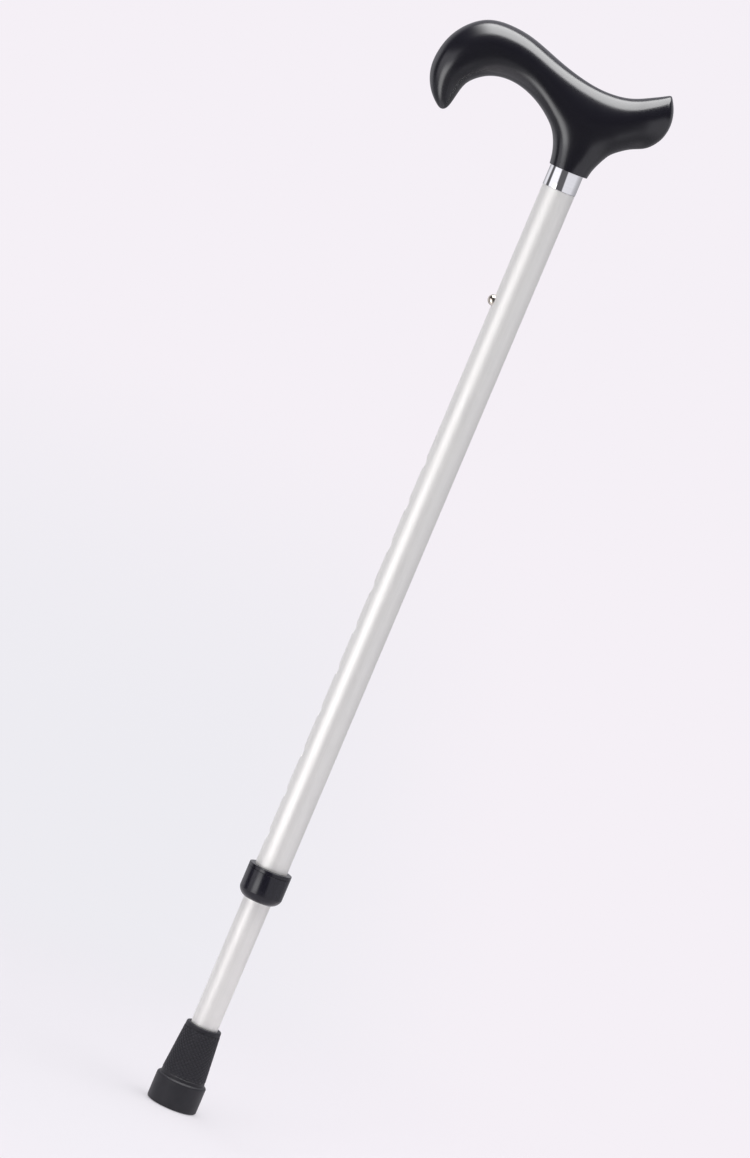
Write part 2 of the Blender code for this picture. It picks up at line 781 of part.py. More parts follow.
def main():
    clear_scene()
    cane = bpy.data.collections.new("walking_cane")
    cutters = bpy.data.collections.new("cutters")
    bpy.context.scene.collection.children.link(cane)
    bpy.context.scene.collection.children.link(cutters)

    satin_black = finish("satin_black", (0.012, 0.012, 0.014), 0.36)
    gloss_black = finish("gloss_black", (0.016, 0.016, 0.018), 0.24)
    black_rubber = finish("black_rubber", (0.03, 0.03, 0.034), 0.75)
    chrome = finish("chrome", (0.85, 0.85, 0.86), 0.06, 1.0)
    satin_silver = finish("satin_silver", (0.74, 0.74, 0.73), 0.34, 1.0)
    nickel = finish("nickel", (0.72, 0.68, 0.62), 0.12, 1.0)
    spring_steel = finish("spring_steel", (0.35, 0.36, 0.38), 0.3, 1.0)
    zinc_steel = finish("zinc_steel", (0.6, 0.61, 0.63), 0.35, 1.0)
    brass = finish("brass", (0.75, 0.58, 0.28), 0.3, 1.0)
    grey_nylon = finish("grey_nylon", (0.45, 0.45, 0.44), 0.5)

    ground = add_empty("ground", 0, cane)
    upper = add_empty("upper_tube_foot", UPPER_TUBE_FOOT, cane, ground)
    neck = add_empty("handle_foot", UPPER_TUBE_LENGTH - UPPER_TUBE_TOP, cane, upper)
    clamp = add_empty("clamp_ring_top", CLAMP_TOP, cane, upper)
    collar = add_empty("collar_top", COLLAR_TOP - CLAMP_TOP, cane, clamp)
    lower = add_empty("lower_shaft", 0, cane, ground)
    button = add_empty("button_height", BUTTON_HEIGHT, cane, lower)

    pieces = (
        (handle(), neck, satin_black),
        (threaded_insert(), neck, brass),
        (handle_stud(), neck, zinc_steel),
        (chrome_ring(), neck, chrome),
        (tube_plug(), neck, grey_nylon),
        (upper_tube(), upper, satin_silver),
        (clamp_sleeve(), upper, gloss_black),
        (clamp_ring(), clamp, grey_nylon),
        (locking_collar(), collar, gloss_black),
        (lower_tube(), lower, satin_silver),
        (guide_bush(), lower, grey_nylon),
        (ferrule(), lower, black_rubber),
        (ferrule_washer(), lower, zinc_steel),
        (snap_button(), button, nickel),
        (button_spring(), button, spring_steel),
    )
    shading = smooth_by_angle()
    for obj, parent, material in pieces:
        cane.objects.link(obj)
        obj.parent = parent
        obj.data.materials.append(material)
        obj.modifiers.new("shading", "NODES").node_group = shading


main()
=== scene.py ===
"""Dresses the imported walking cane: finely shaped pieces, their finishes, a plain studio and the camera.

Lengths are in metres. The origin is the centre of the rubber tip's sole, +Z runs up the shaft, and
the handle's nose, the spring button and the adjusting holes face -X.
"""

import json
import logging
import math
from collections.abc import Sequence
from dataclasses import asdict, dataclass, field
from enum import Enum
from functools import reduce
from typing import Any

import bmesh
import bpy
import numpy as np
from mathutils import Matrix, Vector

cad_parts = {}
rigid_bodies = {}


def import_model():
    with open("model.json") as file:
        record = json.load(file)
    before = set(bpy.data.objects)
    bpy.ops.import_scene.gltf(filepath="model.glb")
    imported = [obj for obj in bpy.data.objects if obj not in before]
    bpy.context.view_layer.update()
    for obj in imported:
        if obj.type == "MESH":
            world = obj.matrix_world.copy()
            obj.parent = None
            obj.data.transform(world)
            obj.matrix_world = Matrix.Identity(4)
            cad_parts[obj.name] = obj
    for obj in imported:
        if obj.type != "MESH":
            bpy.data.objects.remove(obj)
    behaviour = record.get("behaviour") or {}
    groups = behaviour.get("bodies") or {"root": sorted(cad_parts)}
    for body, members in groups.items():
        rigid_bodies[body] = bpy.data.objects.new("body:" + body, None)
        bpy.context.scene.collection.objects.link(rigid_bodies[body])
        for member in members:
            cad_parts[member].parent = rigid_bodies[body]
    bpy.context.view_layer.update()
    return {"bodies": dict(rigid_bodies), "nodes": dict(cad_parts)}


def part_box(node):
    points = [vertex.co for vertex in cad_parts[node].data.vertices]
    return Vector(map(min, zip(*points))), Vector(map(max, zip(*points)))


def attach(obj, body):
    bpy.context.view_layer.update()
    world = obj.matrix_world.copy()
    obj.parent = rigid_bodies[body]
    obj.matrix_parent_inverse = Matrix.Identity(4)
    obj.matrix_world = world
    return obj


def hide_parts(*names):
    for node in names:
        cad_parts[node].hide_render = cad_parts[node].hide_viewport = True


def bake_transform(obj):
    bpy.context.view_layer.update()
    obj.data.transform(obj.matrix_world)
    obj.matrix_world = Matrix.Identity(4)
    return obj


MM = 0.001
WELD = 0.005 * MM  # vertices that are nearer than this are one
SHARP = math.radians(35)  # an edge is sharp from this angle between its faces

Point = tuple[float, float]
Corner = tuple[float, ...]
Colour = tuple[float, float, float]

log = logging.getLogger("walking_cane")


class Body(Enum):
    """The bodies that the finely shaped pieces ride on."""

    UPPER = "upper_shaft"
    LOWER = "lower_shaft"
    BUTTON = "button"
    COLLAR = "collar"


class GraphKind(Enum):
    """The two kinds of node group that this file builds."""

    GEOMETRY = "GeometryNodeTree"
    SHADER = "ShaderNodeTree"


class LineRun(Enum):
    """Which way fine tool marks run, as the stretch of their pattern along X, Y and Z."""

    ALONG_SHAFT = (1.0, 1.0, 0.008)
    ROUND_SHAFT = (0.02, 0.02, 1.0)


# Node groups


class Graph:
    """A node group under construction, with named inputs and outputs."""

    def __init__(self, name: str, kind: GraphKind) -> None:
        """Starts an empty group.

        Args:
            name: The group's name.
            kind: Geometry or shader.
        """
        self.tree = bpy.data.node_groups.new(name, kind.value)
        self.start = self.tree.nodes.new("NodeGroupInput")
        self.end = self.tree.nodes.new("NodeGroupOutput")

    def take(self, name: str, kind: str) -> bpy.types.NodeSocket:
        """Adds a named input, whose kind is a socket's type without NodeSocket, and returns it."""
        self.tree.interface.new_socket(name, in_out="INPUT", socket_type="NodeSocket" + kind)
        return self.start.outputs[name]

    def give(self, name: str, kind: str, source: bpy.types.NodeSocket) -> None:
        """Adds a named output, of a kind as in take, and feeds it."""
        self.tree.interface.new_socket(name, in_out="OUTPUT", socket_type="NodeSocket" + kind)
        self.tree.links.new(source, self.end.inputs[name])

    def add(self, kind: str, *inputs: Any, **settings: Any) -> bpy.types.Node:
        """Adds a node to the group, as add_node does."""
        return add_node(self.tree, kind, *inputs, **settings)

    def math(self, operation: str, *values: Any) -> bpy.types.NodeSocket:
        """Adds a Math node to the group, as calculate does."""
        return calculate(self.tree, operation, *values)

    def noise(
        self, vector: bpy.types.NodeSocket, scale: Any, detail: float, **more: float
    ) -> bpy.types.NodeSocket:
        """Adds a noise pattern.

        Args:
            vector: The position that it reads.
            scale: How fine it is.
            detail: How many finer layers it has.
            more: Its other inputs, by their names in lower case.

        Returns:
            Its value.
        """
        others = [(name.title(), value) for name, value in more.items()]
        inputs = (("Vector", vector), ("Scale", scale), ("Detail", detail), *others)
        return self.add("ShaderNodeTexNoise", *inputs).outputs["Fac"]

    def spread(
        self, value: bpy.types.NodeSocket, low: float, high: float, first: Any = 0.0, last: Any = 1.0
    ) -> bpy.types.NodeSocket:
        """Adds a node that stretches one range onto another, and stops at its ends.

        Args:
            value: What it follows.
            low: The value at which it starts.
            high: The value at which it ends.
            first: What it gives at the start.
            last: What it gives at the end.

        Returns:
            The stretched value.
        """
        ends = (("From Min", low), ("From Max", high), ("To Min", first), ("To Max", last))
        return self.add("ShaderNodeMapRange", ("Value", value), *ends).outputs["Result"]

    def finish(
        self,
        body: bpy.types.NodeSocket,
        added: bpy.types.NodeSocket,
        material: bpy.types.NodeSocket,
        weld: float = 0.0,
    ) -> None:
        """Ends a geometry group. It gives the object's own mesh and what was added to it as plain
        geometry in one material.

        Args:
            body: The object's own mesh.
            added: What the group adds to it.
            material: The material.
            weld: The distance within which vertices become one.
        """
        real = self.add("GeometryNodeRealizeInstances", ("Geometry", added))
        joined = self.add("GeometryNodeJoinGeometry", ("Geometry", real.outputs[0]))
        self.tree.links.new(body, joined.inputs[0])
        whole = joined.outputs[0]
        if weld:
            welded = self.add("GeometryNodeMergeByDistance", ("Geometry", whole), ("Distance", weld))
            whole = welded.outputs[0]
        inputs = (("Geometry", whole), ("Material", material))
        dressed = self.add("GeometryNodeSetMaterial", *inputs)
        self.give("Geometry", "Geometry", dressed.outputs[0])


def add_node(
    tree: bpy.types.NodeTree, kind: str, *inputs: Any, **settings: Any
) -> bpy.types.Node:
    """Adds a node to a tree and fills in its inputs.

    Args:
        tree: The tree.
        kind: The node's type.
        inputs: (name or index, value or socket) pairs.
        settings: The node's own settings.

    Returns:
        The new node.
    """
    node = tree.nodes.new(kind)
    for name, value in settings.items():
        setattr(node, name, value)
    for name, value in inputs:
        if isinstance(value, bpy.types.NodeSocket):
            tree.links.new(value, node.inputs[name])
        else:
            node.inputs[name].default_value = value
    return node


def calculate(tree: bpy.types.NodeTree, operation: str, *values: Any) -> bpy.types.NodeSocket:
    """Adds a Math node to a tree, over numbers or sockets, and returns its result."""
    node = add_node(tree, "ShaderNodeMath", *enumerate(values), operation=operation)
    return node.outputs[0]


def product(
    tree: bpy.types.NodeTree, values: Sequence[bpy.types.NodeSocket]
) -> bpy.types.NodeSocket:
    """Multiplies sockets by one another and returns the result."""
    return reduce(lambda first, second: calculate(tree, "MULTIPLY", first, second), values)


def blend(
    tree: bpy.types.NodeTree, factor: bpy.types.NodeSocket, first: Any, second: Any
) -> bpy.types.NodeSocket:
    """Adds a node that blends two colours.

    Args:
        tree: The tree.
        factor: The share of the second colour.
        first: The first colour, as a value or a socket.
        second: The second colour.

    Returns:
        The blend's socket.
    """
    inputs = ((0, factor), (6, first), (7, second))
    return add_node(tree, "ShaderNodeMix", *inputs, data_type="RGBA").outputs[2]


def grow(obj: bpy.types.Object, graph: Graph, **values: Any) -> None:
    """Runs a geometry group on an object and keeps the result as its plain mesh.

    Args:
        obj: The object, whose own mesh the group receives.
        graph: The geometry group.
        values: All its inputs, by their names in lower case, joined by underscores.
    """
    modifier = obj.modifiers.new(graph.tree.name, "NODES")
    modifier.node_group = graph.tree
    inputs = {item.name: item for item in graph.tree.interface.items_tree if item.in_out == "INPUT"}
    for name, value in values.items():
        modifier[inputs[name.replace("_", " ").title()].identifier] = value
    bake(obj)


def bake(obj: bpy.types.Object) -> None:
    """Turns an object's evaluated shape into its plain mesh and drops its modifiers.

    Args:
        obj: The object.
    """
    bpy.context.view_layer.update()
    graph = bpy.context.evaluated_depsgraph_get()
    shape = bpy.data.meshes.new_from_object(obj.evaluated_get(graph), depsgraph=graph)
    shape.name = obj.name
    obj.modifiers.clear()
    obj.data = shape


# Mesh helpers


def place(name: str, shape: bmesh.types.BMesh) -> bpy.types.Object:
    """Makes a scene object from a shape.

    Args:
        name: The object's name.
        shape: Its shape, which is freed.

    Returns:
        The object, at the origin.
    """
    mesh = bpy.data.meshes.new(name)
    shape.to_mesh(mesh)
    shape.free()
    obj = bpy.data.objects.new(name, mesh)
    bpy.context.scene.collection.objects.link(obj)
    return obj


def shade(obj: bpy.types.Object, sharp: float = SHARP) -> None:
    """Shades an object smooth, but for edges whose faces meet at the sharp angle or more."""
    obj.data.shade_smooth()
    obj.data.set_sharp_from_angle(angle=sharp)


def arc(centre: Point, radius: float, start: float, end: float, steps: int) -> list[Point]:
    """Points on an arc.

    Args:
        centre: Its centre.
        radius: Its radius.
        start: The first point's angle.
        end: The last point's angle.
        steps: Its number of chords.

    Returns:
        The points, both ends included.
    """
    angles = np.linspace(start, end, steps + 1)
    return [(centre[0] + radius * math.cos(a), centre[1] + radius * math.sin(a)) for a in angles]


def rounded(corners: Sequence[Corner], steps: int = 5, room_share: float = 0.98) -> list[Point]:
    """Rounds the corners of a closed outline.

    Args:
        corners: (r, z) or (r, z, radius) corners.
        steps: Chords for each rounded corner.
        room_share: The most that roundings take of the side between them.

    Returns:
        The outline's points.
    """
    points: list[Point] = []
    for index, corner in enumerate(corners):
        if len(corner) == 2:
            points.append((corner[0], corner[1]))
            continue
        here = np.array(corner[:2])
        sides = []
        room = math.inf
        for other in (corners[index - 1], corners[(index + 1) % len(corners)]):
            side = np.array(other[:2]) - here
            length = float(np.linalg.norm(side))
            share = corner[2] / (corner[2] + (other[2] if len(other) == 3 else 0))
            room = min(room, room_share * length * share)
            sides.append(side / length)
        half_angle = math.acos(float(sides[0] @ sides[1])) / 2
        radius = min(corner[2], room * math.tan(half_angle))
        inward = (sides[0] + sides[1]) / np.linalg.norm(sides[0] + sides[1])
        centre = here + inward * radius / math.sin(half_angle)
        reach = radius / math.tan(half_angle)
        spokes = [here + side * reach - centre for side in sides]
        first, last = (math.atan2(spoke[1], spoke[0]) for spoke in spokes)
        turn = (last - first + math.pi) % math.tau - math.pi
        points += arc((centre[0], centre[1]), radius, first, first + turn, steps)
    return points


def bulged(start: Point, end: Point, rise: float, steps: int = 16) -> list[Point]:
    """Points between two corners, on an arc that stands out to the left of the way.

    Args:
        start: The first corner.
        end: The last corner.
        rise: How far the arc stands out.
        steps: Its number of chords.

    Returns:
        The points between the corners.
    """
    first, last = np.array(start), np.array(end)
    half_chord = float(np.linalg.norm(last - first)) / 2
    left = np.array((first[1] - last[1], last[0] - first[0])) / (2 * half_chord)
    radius = (half_chord**2 + rise**2) / (2 * rise)
    centre = (first + last) / 2 + left * (rise - radius)
    middle = math.atan2(left[1], left[0])
    reach = math.asin(half_chord / radius)
    return arc((centre[0], centre[1]), radius, middle + reach, middle - reach, steps)[1:-1]


def lathe(profile: Sequence[Point], sides: int = 144, closed: bool = True) -> bmesh.types.BMesh:
    """Turns an outline about Z.

    Args:
        profile: (r, z) points. Where r is nothing, the ring is a single point.
        sides: Sides of a full turn.
        closed: Whether the last point joins the first.

    Returns:
        The shape, with its faces pointing out.
    """
    shape = bmesh.new()
    rings = []
    for radius, height in profile:
        if radius < WELD:
            rings.append([shape.verts.new((0, 0, height))])
            continue
        angles = (math.tau * side / sides for side in range(sides))
        rings.append(
            [shape.verts.new((radius * math.cos(a), radius * math.sin(a), height)) for a in angles]
        )
    pairs = list(zip(rings, rings[1:]))
    if closed:
        pairs.append((rings[-1], rings[0]))
    for first, second in pairs:
        join_rings(shape, first, second)
    bmesh.ops.recalc_face_normals(shape, faces=shape.faces)
    return shape


def join_rings(
    shape: bmesh.types.BMesh,
    first: list[bmesh.types.BMVert],
    second: list[bmesh.types.BMVert],
) -> None:
    """Skins two rings of as many vertices, of which one may be a single point.

    Args:
        shape: The shape that holds them.
        first: One ring.
        second: The other.
    """
    count = max(len(first), len(second))
    if count == 1:
        return
    for side in range(count):
        after = (side + 1) % count
        corners = [first[side % len(first)], first[after % len(first)]]
        corners += [second[after % len(second)], second[side % len(second)]]
        shape.faces.new(list(dict.fromkeys(corners)))


# Geometry groups


def stack_group() -> Graph:
    """Builds the group that stacks copies of a slice at an even pitch and welds them on.

    Returns:
        The group.
    """
    graph = Graph("stacked_slices", GraphKind.GEOMETRY)
    body = graph.take("Geometry", "Geometry")
    piece = graph.take("Slice", "Object")
    count = graph.take("Count", "Int")
    pitch = graph.take("Pitch", "Float")
    first = graph.take("First Height", "Float")
    material = graph.take("Material", "Material")
    start = graph.add("ShaderNodeCombineXYZ", ("Z", first)).outputs[0]
    step = graph.add("ShaderNodeCombineXYZ", ("Z", graph.math("MULTIPLY", pitch, -1.0))).outputs[0]
    line = graph.add(
        "GeometryNodeMeshLine", ("Count", count), ("Start Location", start), ("Offset", step)
    )
    source = graph.add("GeometryNodeObjectInfo", ("Object", piece))
    copies = graph.add(
        "GeometryNodeInstanceOnPoints",
        ("Points", line.outputs["Mesh"]),
        ("Instance", source.outputs["Geometry"]),
    )
    graph.finish(body, copies.outputs["Instances"], material, WELD)
    return graph


def knurl_group() -> Graph:
    """Builds the group that covers a cone with staggered rows of low diamond studs.

    Returns:
        The group.
    """
    graph = Graph("diamond_knurl", GraphKind.GEOMETRY)
    body = graph.take("Geometry", "Geometry")
    around = graph.take("Around", "Int")
    rows = graph.take("Rows", "Int")
    foot_radius = graph.take("Foot Radius", "Float")
    top_radius = graph.take("Top Radius", "Float")
    foot = graph.take("Foot Height", "Float")
    top = graph.take("Top Height", "Float")
    relief = graph.take("Relief", "Float")
    land = graph.take("Land Share", "Float")
    groove = graph.take("Groove Share", "Float")
    material = graph.take("Material", "Material")

    points = graph.add("GeometryNodeMeshLine", ("Count", graph.math("MULTIPLY", around, rows)))
    index = graph.add("GeometryNodeInputIndex").outputs[0]
    row = graph.math("FLOOR", graph.math("DIVIDE", index, around))
    column = graph.math("SUBTRACT", index, graph.math("MULTIPLY", row, around))
    stagger = graph.math("MULTIPLY", graph.math("MODULO", row, 2.0), 0.5)
    turn = graph.math("DIVIDE", graph.math("ADD", column, stagger), around)
    angle = graph.math("MULTIPLY", turn, math.tau)
    share = graph.math("DIVIDE", graph.math("ADD", row, 1.0), graph.math("ADD", rows, 1.0))
    growth = graph.math("SUBTRACT", top_radius, foot_radius)
    radius = graph.math("MULTIPLY_ADD", share, growth, foot_radius)
    rise = graph.math("SUBTRACT", top, foot)
    spot = graph.add(
        "ShaderNodeCombineXYZ",
        ("X", graph.math("MULTIPLY", radius, graph.math("COSINE", angle))),
        ("Y", graph.math("MULTIPLY", radius, graph.math("SINE", angle))),
        ("Z", graph.math("MULTIPLY_ADD", share, rise, foot)),
    )
    placed = graph.add(
        "GeometryNodeSetPosition",
        ("Geometry", points.outputs["Mesh"]),
        ("Position", spot.outputs[0]),
    )
    slope = graph.math("ARCTAN2", graph.math("SUBTRACT", foot_radius, top_radius), rise)
    lean = graph.math("SUBTRACT", math.pi / 2, slope)
    turned = graph.add("ShaderNodeCombineXYZ", ("Y", lean), ("Z", angle)).outputs[0]
    rotation = graph.add("FunctionNodeEulerToRotation", ("Euler", turned)).outputs[0]

    row_height = graph.math("DIVIDE", rise, graph.math("ADD", rows, 1.0))
    width = graph.math("DIVIDE", graph.math("MULTIPLY", radius, math.pi), around)
    filled = graph.math("SUBTRACT", 1.0, groove)
    half_height, half_width = (graph.math("MULTIPLY", side, filled) for side in (row_height, width))
    size = graph.add(
        "ShaderNodeCombineXYZ", ("X", half_height), ("Y", half_width), ("Z", relief)
    ).outputs[0]
    stud = graph.add(
        "GeometryNodeMeshCone",
        ("Vertices", 4),
        ("Radius Top", land),
        ("Radius Bottom", 1.0),
        ("Depth", 1.0),
        fill_type="NGON",
    )
    # A stud's foot lies at height 0 and its land at 1, so its height marks the crest.
    position = graph.add("GeometryNodeInputPosition").outputs[0]
    marked = graph.add(
        "GeometryNodeStoreNamedAttribute",
        ("Geometry", stud.outputs["Mesh"]),
        ("Name", "crest"),
        ("Value", graph.add("ShaderNodeSeparateXYZ", ("Vector", position)).outputs["Z"]),
        data_type="FLOAT",
        domain="POINT",
    )
    copies = graph.add(
        "GeometryNodeInstanceOnPoints",
        ("Points", placed.outputs["Geometry"]),
        ("Instance", marked.outputs["Geometry"]),
        ("Rotation", rotation),
        ("Scale", size),
    )
    graph.finish(body, copies.outputs["Instances"], material)
    return graph


def thread_group() -> Graph:
    """Builds the group that adds a right-hand helical ridge, thinned out at both ends.

    Returns:
        The group.
    """
    graph = Graph("thread_ridge", GraphKind.GEOMETRY)
    body = graph.take("Geometry", "Geometry")
    radius = graph.take("Radius", "Float")
    pitch = graph.take("Pitch", "Float")
    turns = graph.take("Turns", "Float")
    foot = graph.take("Foot Height", "Float")
    ridge = graph.take("Ridge", "Float")
    start_turn = graph.take("Start Turn", "Float")
    run_out = graph.take("Run Out", "Float")
    end_share = graph.take("End Share", "Float")
    steps = graph.take("Steps", "Int")
    material = graph.take("Material", "Material")
    spiral = graph.add(
        "GeometryNodeCurveSpiral",
        ("Resolution", steps),
        ("Rotations", turns),
        ("Start Radius", radius),
        ("End Radius", radius),
        ("Height", graph.math("MULTIPLY", pitch, turns)),
    )
    along = graph.add("GeometryNodeSplineParameter").outputs["Factor"]
    to_end = graph.math("MINIMUM", along, graph.math("SUBTRACT", 1.0, along))
    turns_to_end = graph.math("MULTIPLY", to_end, turns)
    ramp = graph.math("ADD", end_share, graph.math("DIVIDE", turns_to_end, run_out))
    upright = graph.add(
        "GeometryNodeSetCurveNormal", ("Curve", spiral.outputs["Curve"]), mode="Z_UP"
    )
    section = graph.add("GeometryNodeCurvePrimitiveCircle", ("Resolution", 4), ("Radius", ridge))
    swept = graph.add(
        "GeometryNodeCurveToMesh",
        ("Curve", upright.outputs["Curve"]),
        ("Profile Curve", section.outputs["Curve"]),
        ("Scale", graph.math("MINIMUM", 1.0, ramp)),
        ("Fill Caps", True),
    )
    lift = graph.add("ShaderNodeCombineXYZ", ("Z", foot)).outputs[0]
    spin = graph.math("MULTIPLY", start_turn, math.tau)
    moved = graph.add(
        "GeometryNodeTransform",
        ("Geometry", swept.outputs["Mesh"]),
        ("Translation", lift),
        ("Rotation", graph.add("ShaderNodeCombineXYZ", ("Z", spin)).outputs[0]),
    )
    graph.finish(body, moved.outputs["Geometry"], material)
    return graph


# Shader groups


def grain_group() -> Graph:
    """Builds the fine grain of moulded and blasted surfaces.

    Returns:
        A group that gives the grain as a height and as a mask.
    """
    graph = Graph("fine_grain", GraphKind.SHADER)
    grain = graph.noise(graph.take("Vector", "Vector"), graph.take("Scale", "Float"), detail=3.0)
    graph.give("Height", "Float", grain)
    graph.give("Mask", "Float", graph.spread(grain, low=0.35, high=0.65))
    return graph


def lines_group() -> Graph:
    """Builds the fine parallel lines of drawn, rolled and turned metal.

    Returns:
        A group that gives the lines as a height and as a mask.
    """
    graph = Graph("tool_lines", GraphKind.SHADER)
    vector = graph.take("Vector", "Vector")
    stretch = graph.take("Stretch", "Vector")
    density = graph.take("Density", "Float")
    broad_density, broad_share = 0.22, 0.35
    stretched = graph.add(
        "ShaderNodeVectorMath", (0, vector), (1, stretch), operation="MULTIPLY"
    ).outputs[0]
    fine = graph.noise(stretched, density, detail=2.0)
    broad = graph.noise(stretched, graph.math("MULTIPLY", density, broad_density), detail=1.0)
    broad = graph.math("MULTIPLY", broad, broad_share)
    both = graph.math("MULTIPLY_ADD", fine, 1 - broad_share, broad)
    graph.give("Height", "Float", both)
    graph.give("Mask", "Float", graph.spread(both, low=0.38, high=0.62))
    return graph


def smears_group() -> Graph:
    """Builds the faint uneven gloss that hands leave on a surface.

    Returns:
        A group that gives a roughness between two values.
    """
    graph = Graph("handling_smears", GraphKind.SHADER)
    vector = graph.take("Vector", "Vector")
    scale = graph.take("Scale", "Float")
    low = graph.take("Low", "Float")
    high = graph.take("High", "Float")
    smears = graph.noise(vector, scale, detail=4.0, roughness=0.6, distortion=0.8)
    gloss = graph.spread(smears, low=0.3, high=0.7, first=low, last=high)
    graph.give("Roughness", "Float", gloss)
    return graph


class Groups:
    """The node groups, each built once."""

    def __init__(self) -> None:
        """Builds them all."""
        self.stack = stack_group()
        self.knurl = knurl_group()
        self.thread = thread_group()
        self.grain = grain_group()
        self.lines = lines_group()
        self.smears = smears_group()


# Finishes


@dataclass(frozen=True)
class Finish:
    """A surface finish. Its slot is the record's material slot."""

    slot: str
    colour: Colour
    shadow: Colour
    gloss: tuple[float, float]
    metallic: float = 0.0
    specular: float = 0.5
    grain: float = 0.0
    grain_scale: float = 2500.0
    lines: float = 0.0
    line_run: LineRun = LineRun.ALONG_SHAFT
    line_density: float = 3000.0
    smear_scale: float = 40.0
    worn: Colour | None = None

    def material(self, groups: Groups) -> bpy.types.Material:
        """Builds the material.

        Args:
            groups: The shared node groups.

        Returns:
            The material, named after its slot.
        """
        material = bpy.data.materials.new(self.slot)
        material.use_nodes = True
        tree = material.node_tree
        shader = tree.nodes["Principled BSDF"]
        shader.inputs["Metallic"].default_value = self.metallic
        shader.inputs["Specular IOR Level"].default_value = self.specular
        spot = add_node(tree, "ShaderNodeTexCoord").outputs["Object"]

        low, high = self.gloss
        smears = self.use(tree, groups.smears, spot, Scale=self.smear_scale, Low=low, High=high)
        tree.links.new(smears.outputs["Roughness"], shader.inputs["Roughness"])

        grain = self.use(tree, groups.grain, spot, Scale=self.grain_scale)
        mask = grain.outputs["Mask"]
        normal = None
        if self.grain:
            normal = self.bump(tree, grain.outputs["Height"], self.grain, None)
        if self.lines:
            run = self.line_run.value
            lines = self.use(tree, groups.lines, spot, Density=self.line_density, Stretch=run)
            mask = lines.outputs["Mask"]
            normal = self.bump(tree, lines.outputs["Height"], self.lines, normal)
        if normal is not None:
            tree.links.new(normal, shader.inputs["Normal"])

        colour = blend(tree, mask, (*self.shadow, 1), (*self.colour, 1))
        if self.worn is not None:
            crest = add_node(tree, "ShaderNodeAttribute", attribute_name="crest").outputs["Fac"]
            colour = blend(tree, crest, colour, (*self.worn, 1))
        tree.links.new(colour, shader.inputs["Base Color"])
        return material

    @staticmethod
    def use(
        tree: bpy.types.NodeTree, graph: Graph, vector: bpy.types.NodeSocket, **values: Any
    ) -> bpy.types.Node:
        """Places a shared group in a material.

        Args:
            tree: The material's tree.
            graph: The group.
            vector: The position that it reads.
            values: Its other inputs by name.

        Returns:
            The group's node.
        """
        inputs = (("Vector", vector), *values.items())
        return add_node(tree, "ShaderNodeGroup", *inputs, node_tree=graph.tree)

    @staticmethod
    def bump(
        tree: bpy.types.NodeTree,
        height: bpy.types.NodeSocket,
        depth: float,
        before: bpy.types.NodeSocket | None,
    ) -> bpy.types.NodeSocket:
        """Adds a Bump node.

        Args:
            tree: The material's tree.
            height: The height's socket.
            depth: How deep the pattern is.
            before: A normal that it adds to.

        Returns:
            The normal's socket.
        """
        inputs = [("Height", height), ("Distance", depth)]
        if before is not None:
            inputs.append(("Normal", before))
        return add_node(tree, "ShaderNodeBump", *inputs).outputs["Normal"]


SATIN_BLACK = Finish(
    "satin_black",
    colour=(0.0061, 0.0057, 0.0098),
    shadow=(0.0052, 0.0048, 0.0084),
    gloss=(0.2, 0.24),
    specular=0.65,
    grain=0.0012 * MM,
    grain_scale=2200.0,
    smear_scale=35.0,
)
GLOSS_BLACK = Finish(
    "gloss_black",
    colour=(0.009, 0.0085, 0.0145),
    shadow=(0.0074, 0.0069, 0.0122),
    gloss=(0.16, 0.2),
    specular=0.42,
    grain=0.003 * MM,
    grain_scale=2200.0,
)
BLACK_RUBBER = Finish(
    "black_rubber",
    colour=(0.0086, 0.0081, 0.0136),
    shadow=(0.0066, 0.0062, 0.0105),
    gloss=(0.46, 0.58),
    specular=0.54,
    grain=0.02 * MM,
    grain_scale=2600.0,
    smear_scale=120.0,
    worn=(0.015, 0.0142, 0.021),
)
CHROME = Finish(
    "chrome",
    colour=(0.88, 0.88, 0.89),
    shadow=(0.84, 0.84, 0.85),
    gloss=(0.03, 0.06),
    metallic=1.0,
    lines=0.0004 * MM,
    line_run=LineRun.ROUND_SHAFT,
    line_density=6000.0,
)
SATIN_SILVER = Finish(
    "satin_silver",
    colour=(0.925, 0.914, 0.888),
    shadow=(0.89, 0.88, 0.856),
    gloss=(0.54, 0.6),
    metallic=0.85,
    grain=0.006 * MM,
    grain_scale=4000.0,
    lines=0.003 * MM,
    line_density=2600.0,
)
NICKEL = Finish(
    "nickel",
    colour=(0.76, 0.7, 0.62),
    shadow=(0.7, 0.64, 0.56),
    gloss=(0.07, 0.12),
    metallic=1.0,
    grain=0.001 * MM,
)
SPRING_STEEL = Finish(
    "spring_steel",
    colour=(0.38, 0.39, 0.42),
    shadow=(0.3, 0.31, 0.35),
    gloss=(0.25, 0.34),
    metallic=1.0,
    lines=0.002 * MM,
    line_density=4000.0,
)
ZINC_STEEL = Finish(
    "zinc_steel",
    colour=(0.62, 0.63, 0.65),
    shadow=(0.52, 0.53, 0.56),
    gloss=(0.3, 0.42),
    metallic=1.0,
    grain=0.004 * MM,
    lines=0.002 * MM,
    line_run=LineRun.ROUND_SHAFT,
)
BRASS = Finish(
    "brass",
    colour=(0.78, 0.6, 0.3),
    shadow=(0.66, 0.5, 0.24),
    gloss=(0.24, 0.34),
    metallic=1.0,
    lines=0.003 * MM,
    line_run=LineRun.ROUND_SHAFT,
)
GREY_NYLON = Finish(
    "grey_nylon",
    colour=(0.46, 0.46, 0.45),
    shadow=(0.4, 0.4, 0.39),
    gloss=(0.42, 0.55),
    grain=0.01 * MM,
)
FINISHES = (
    SATIN_BLACK,
    GLOSS_BLACK,
    BLACK_RUBBER,
    CHROME,
    SATIN_SILVER,
    NICKEL,
    SPRING_STEEL,
    ZINC_STEEL,
    BRASS,
    GREY_NYLON,
)


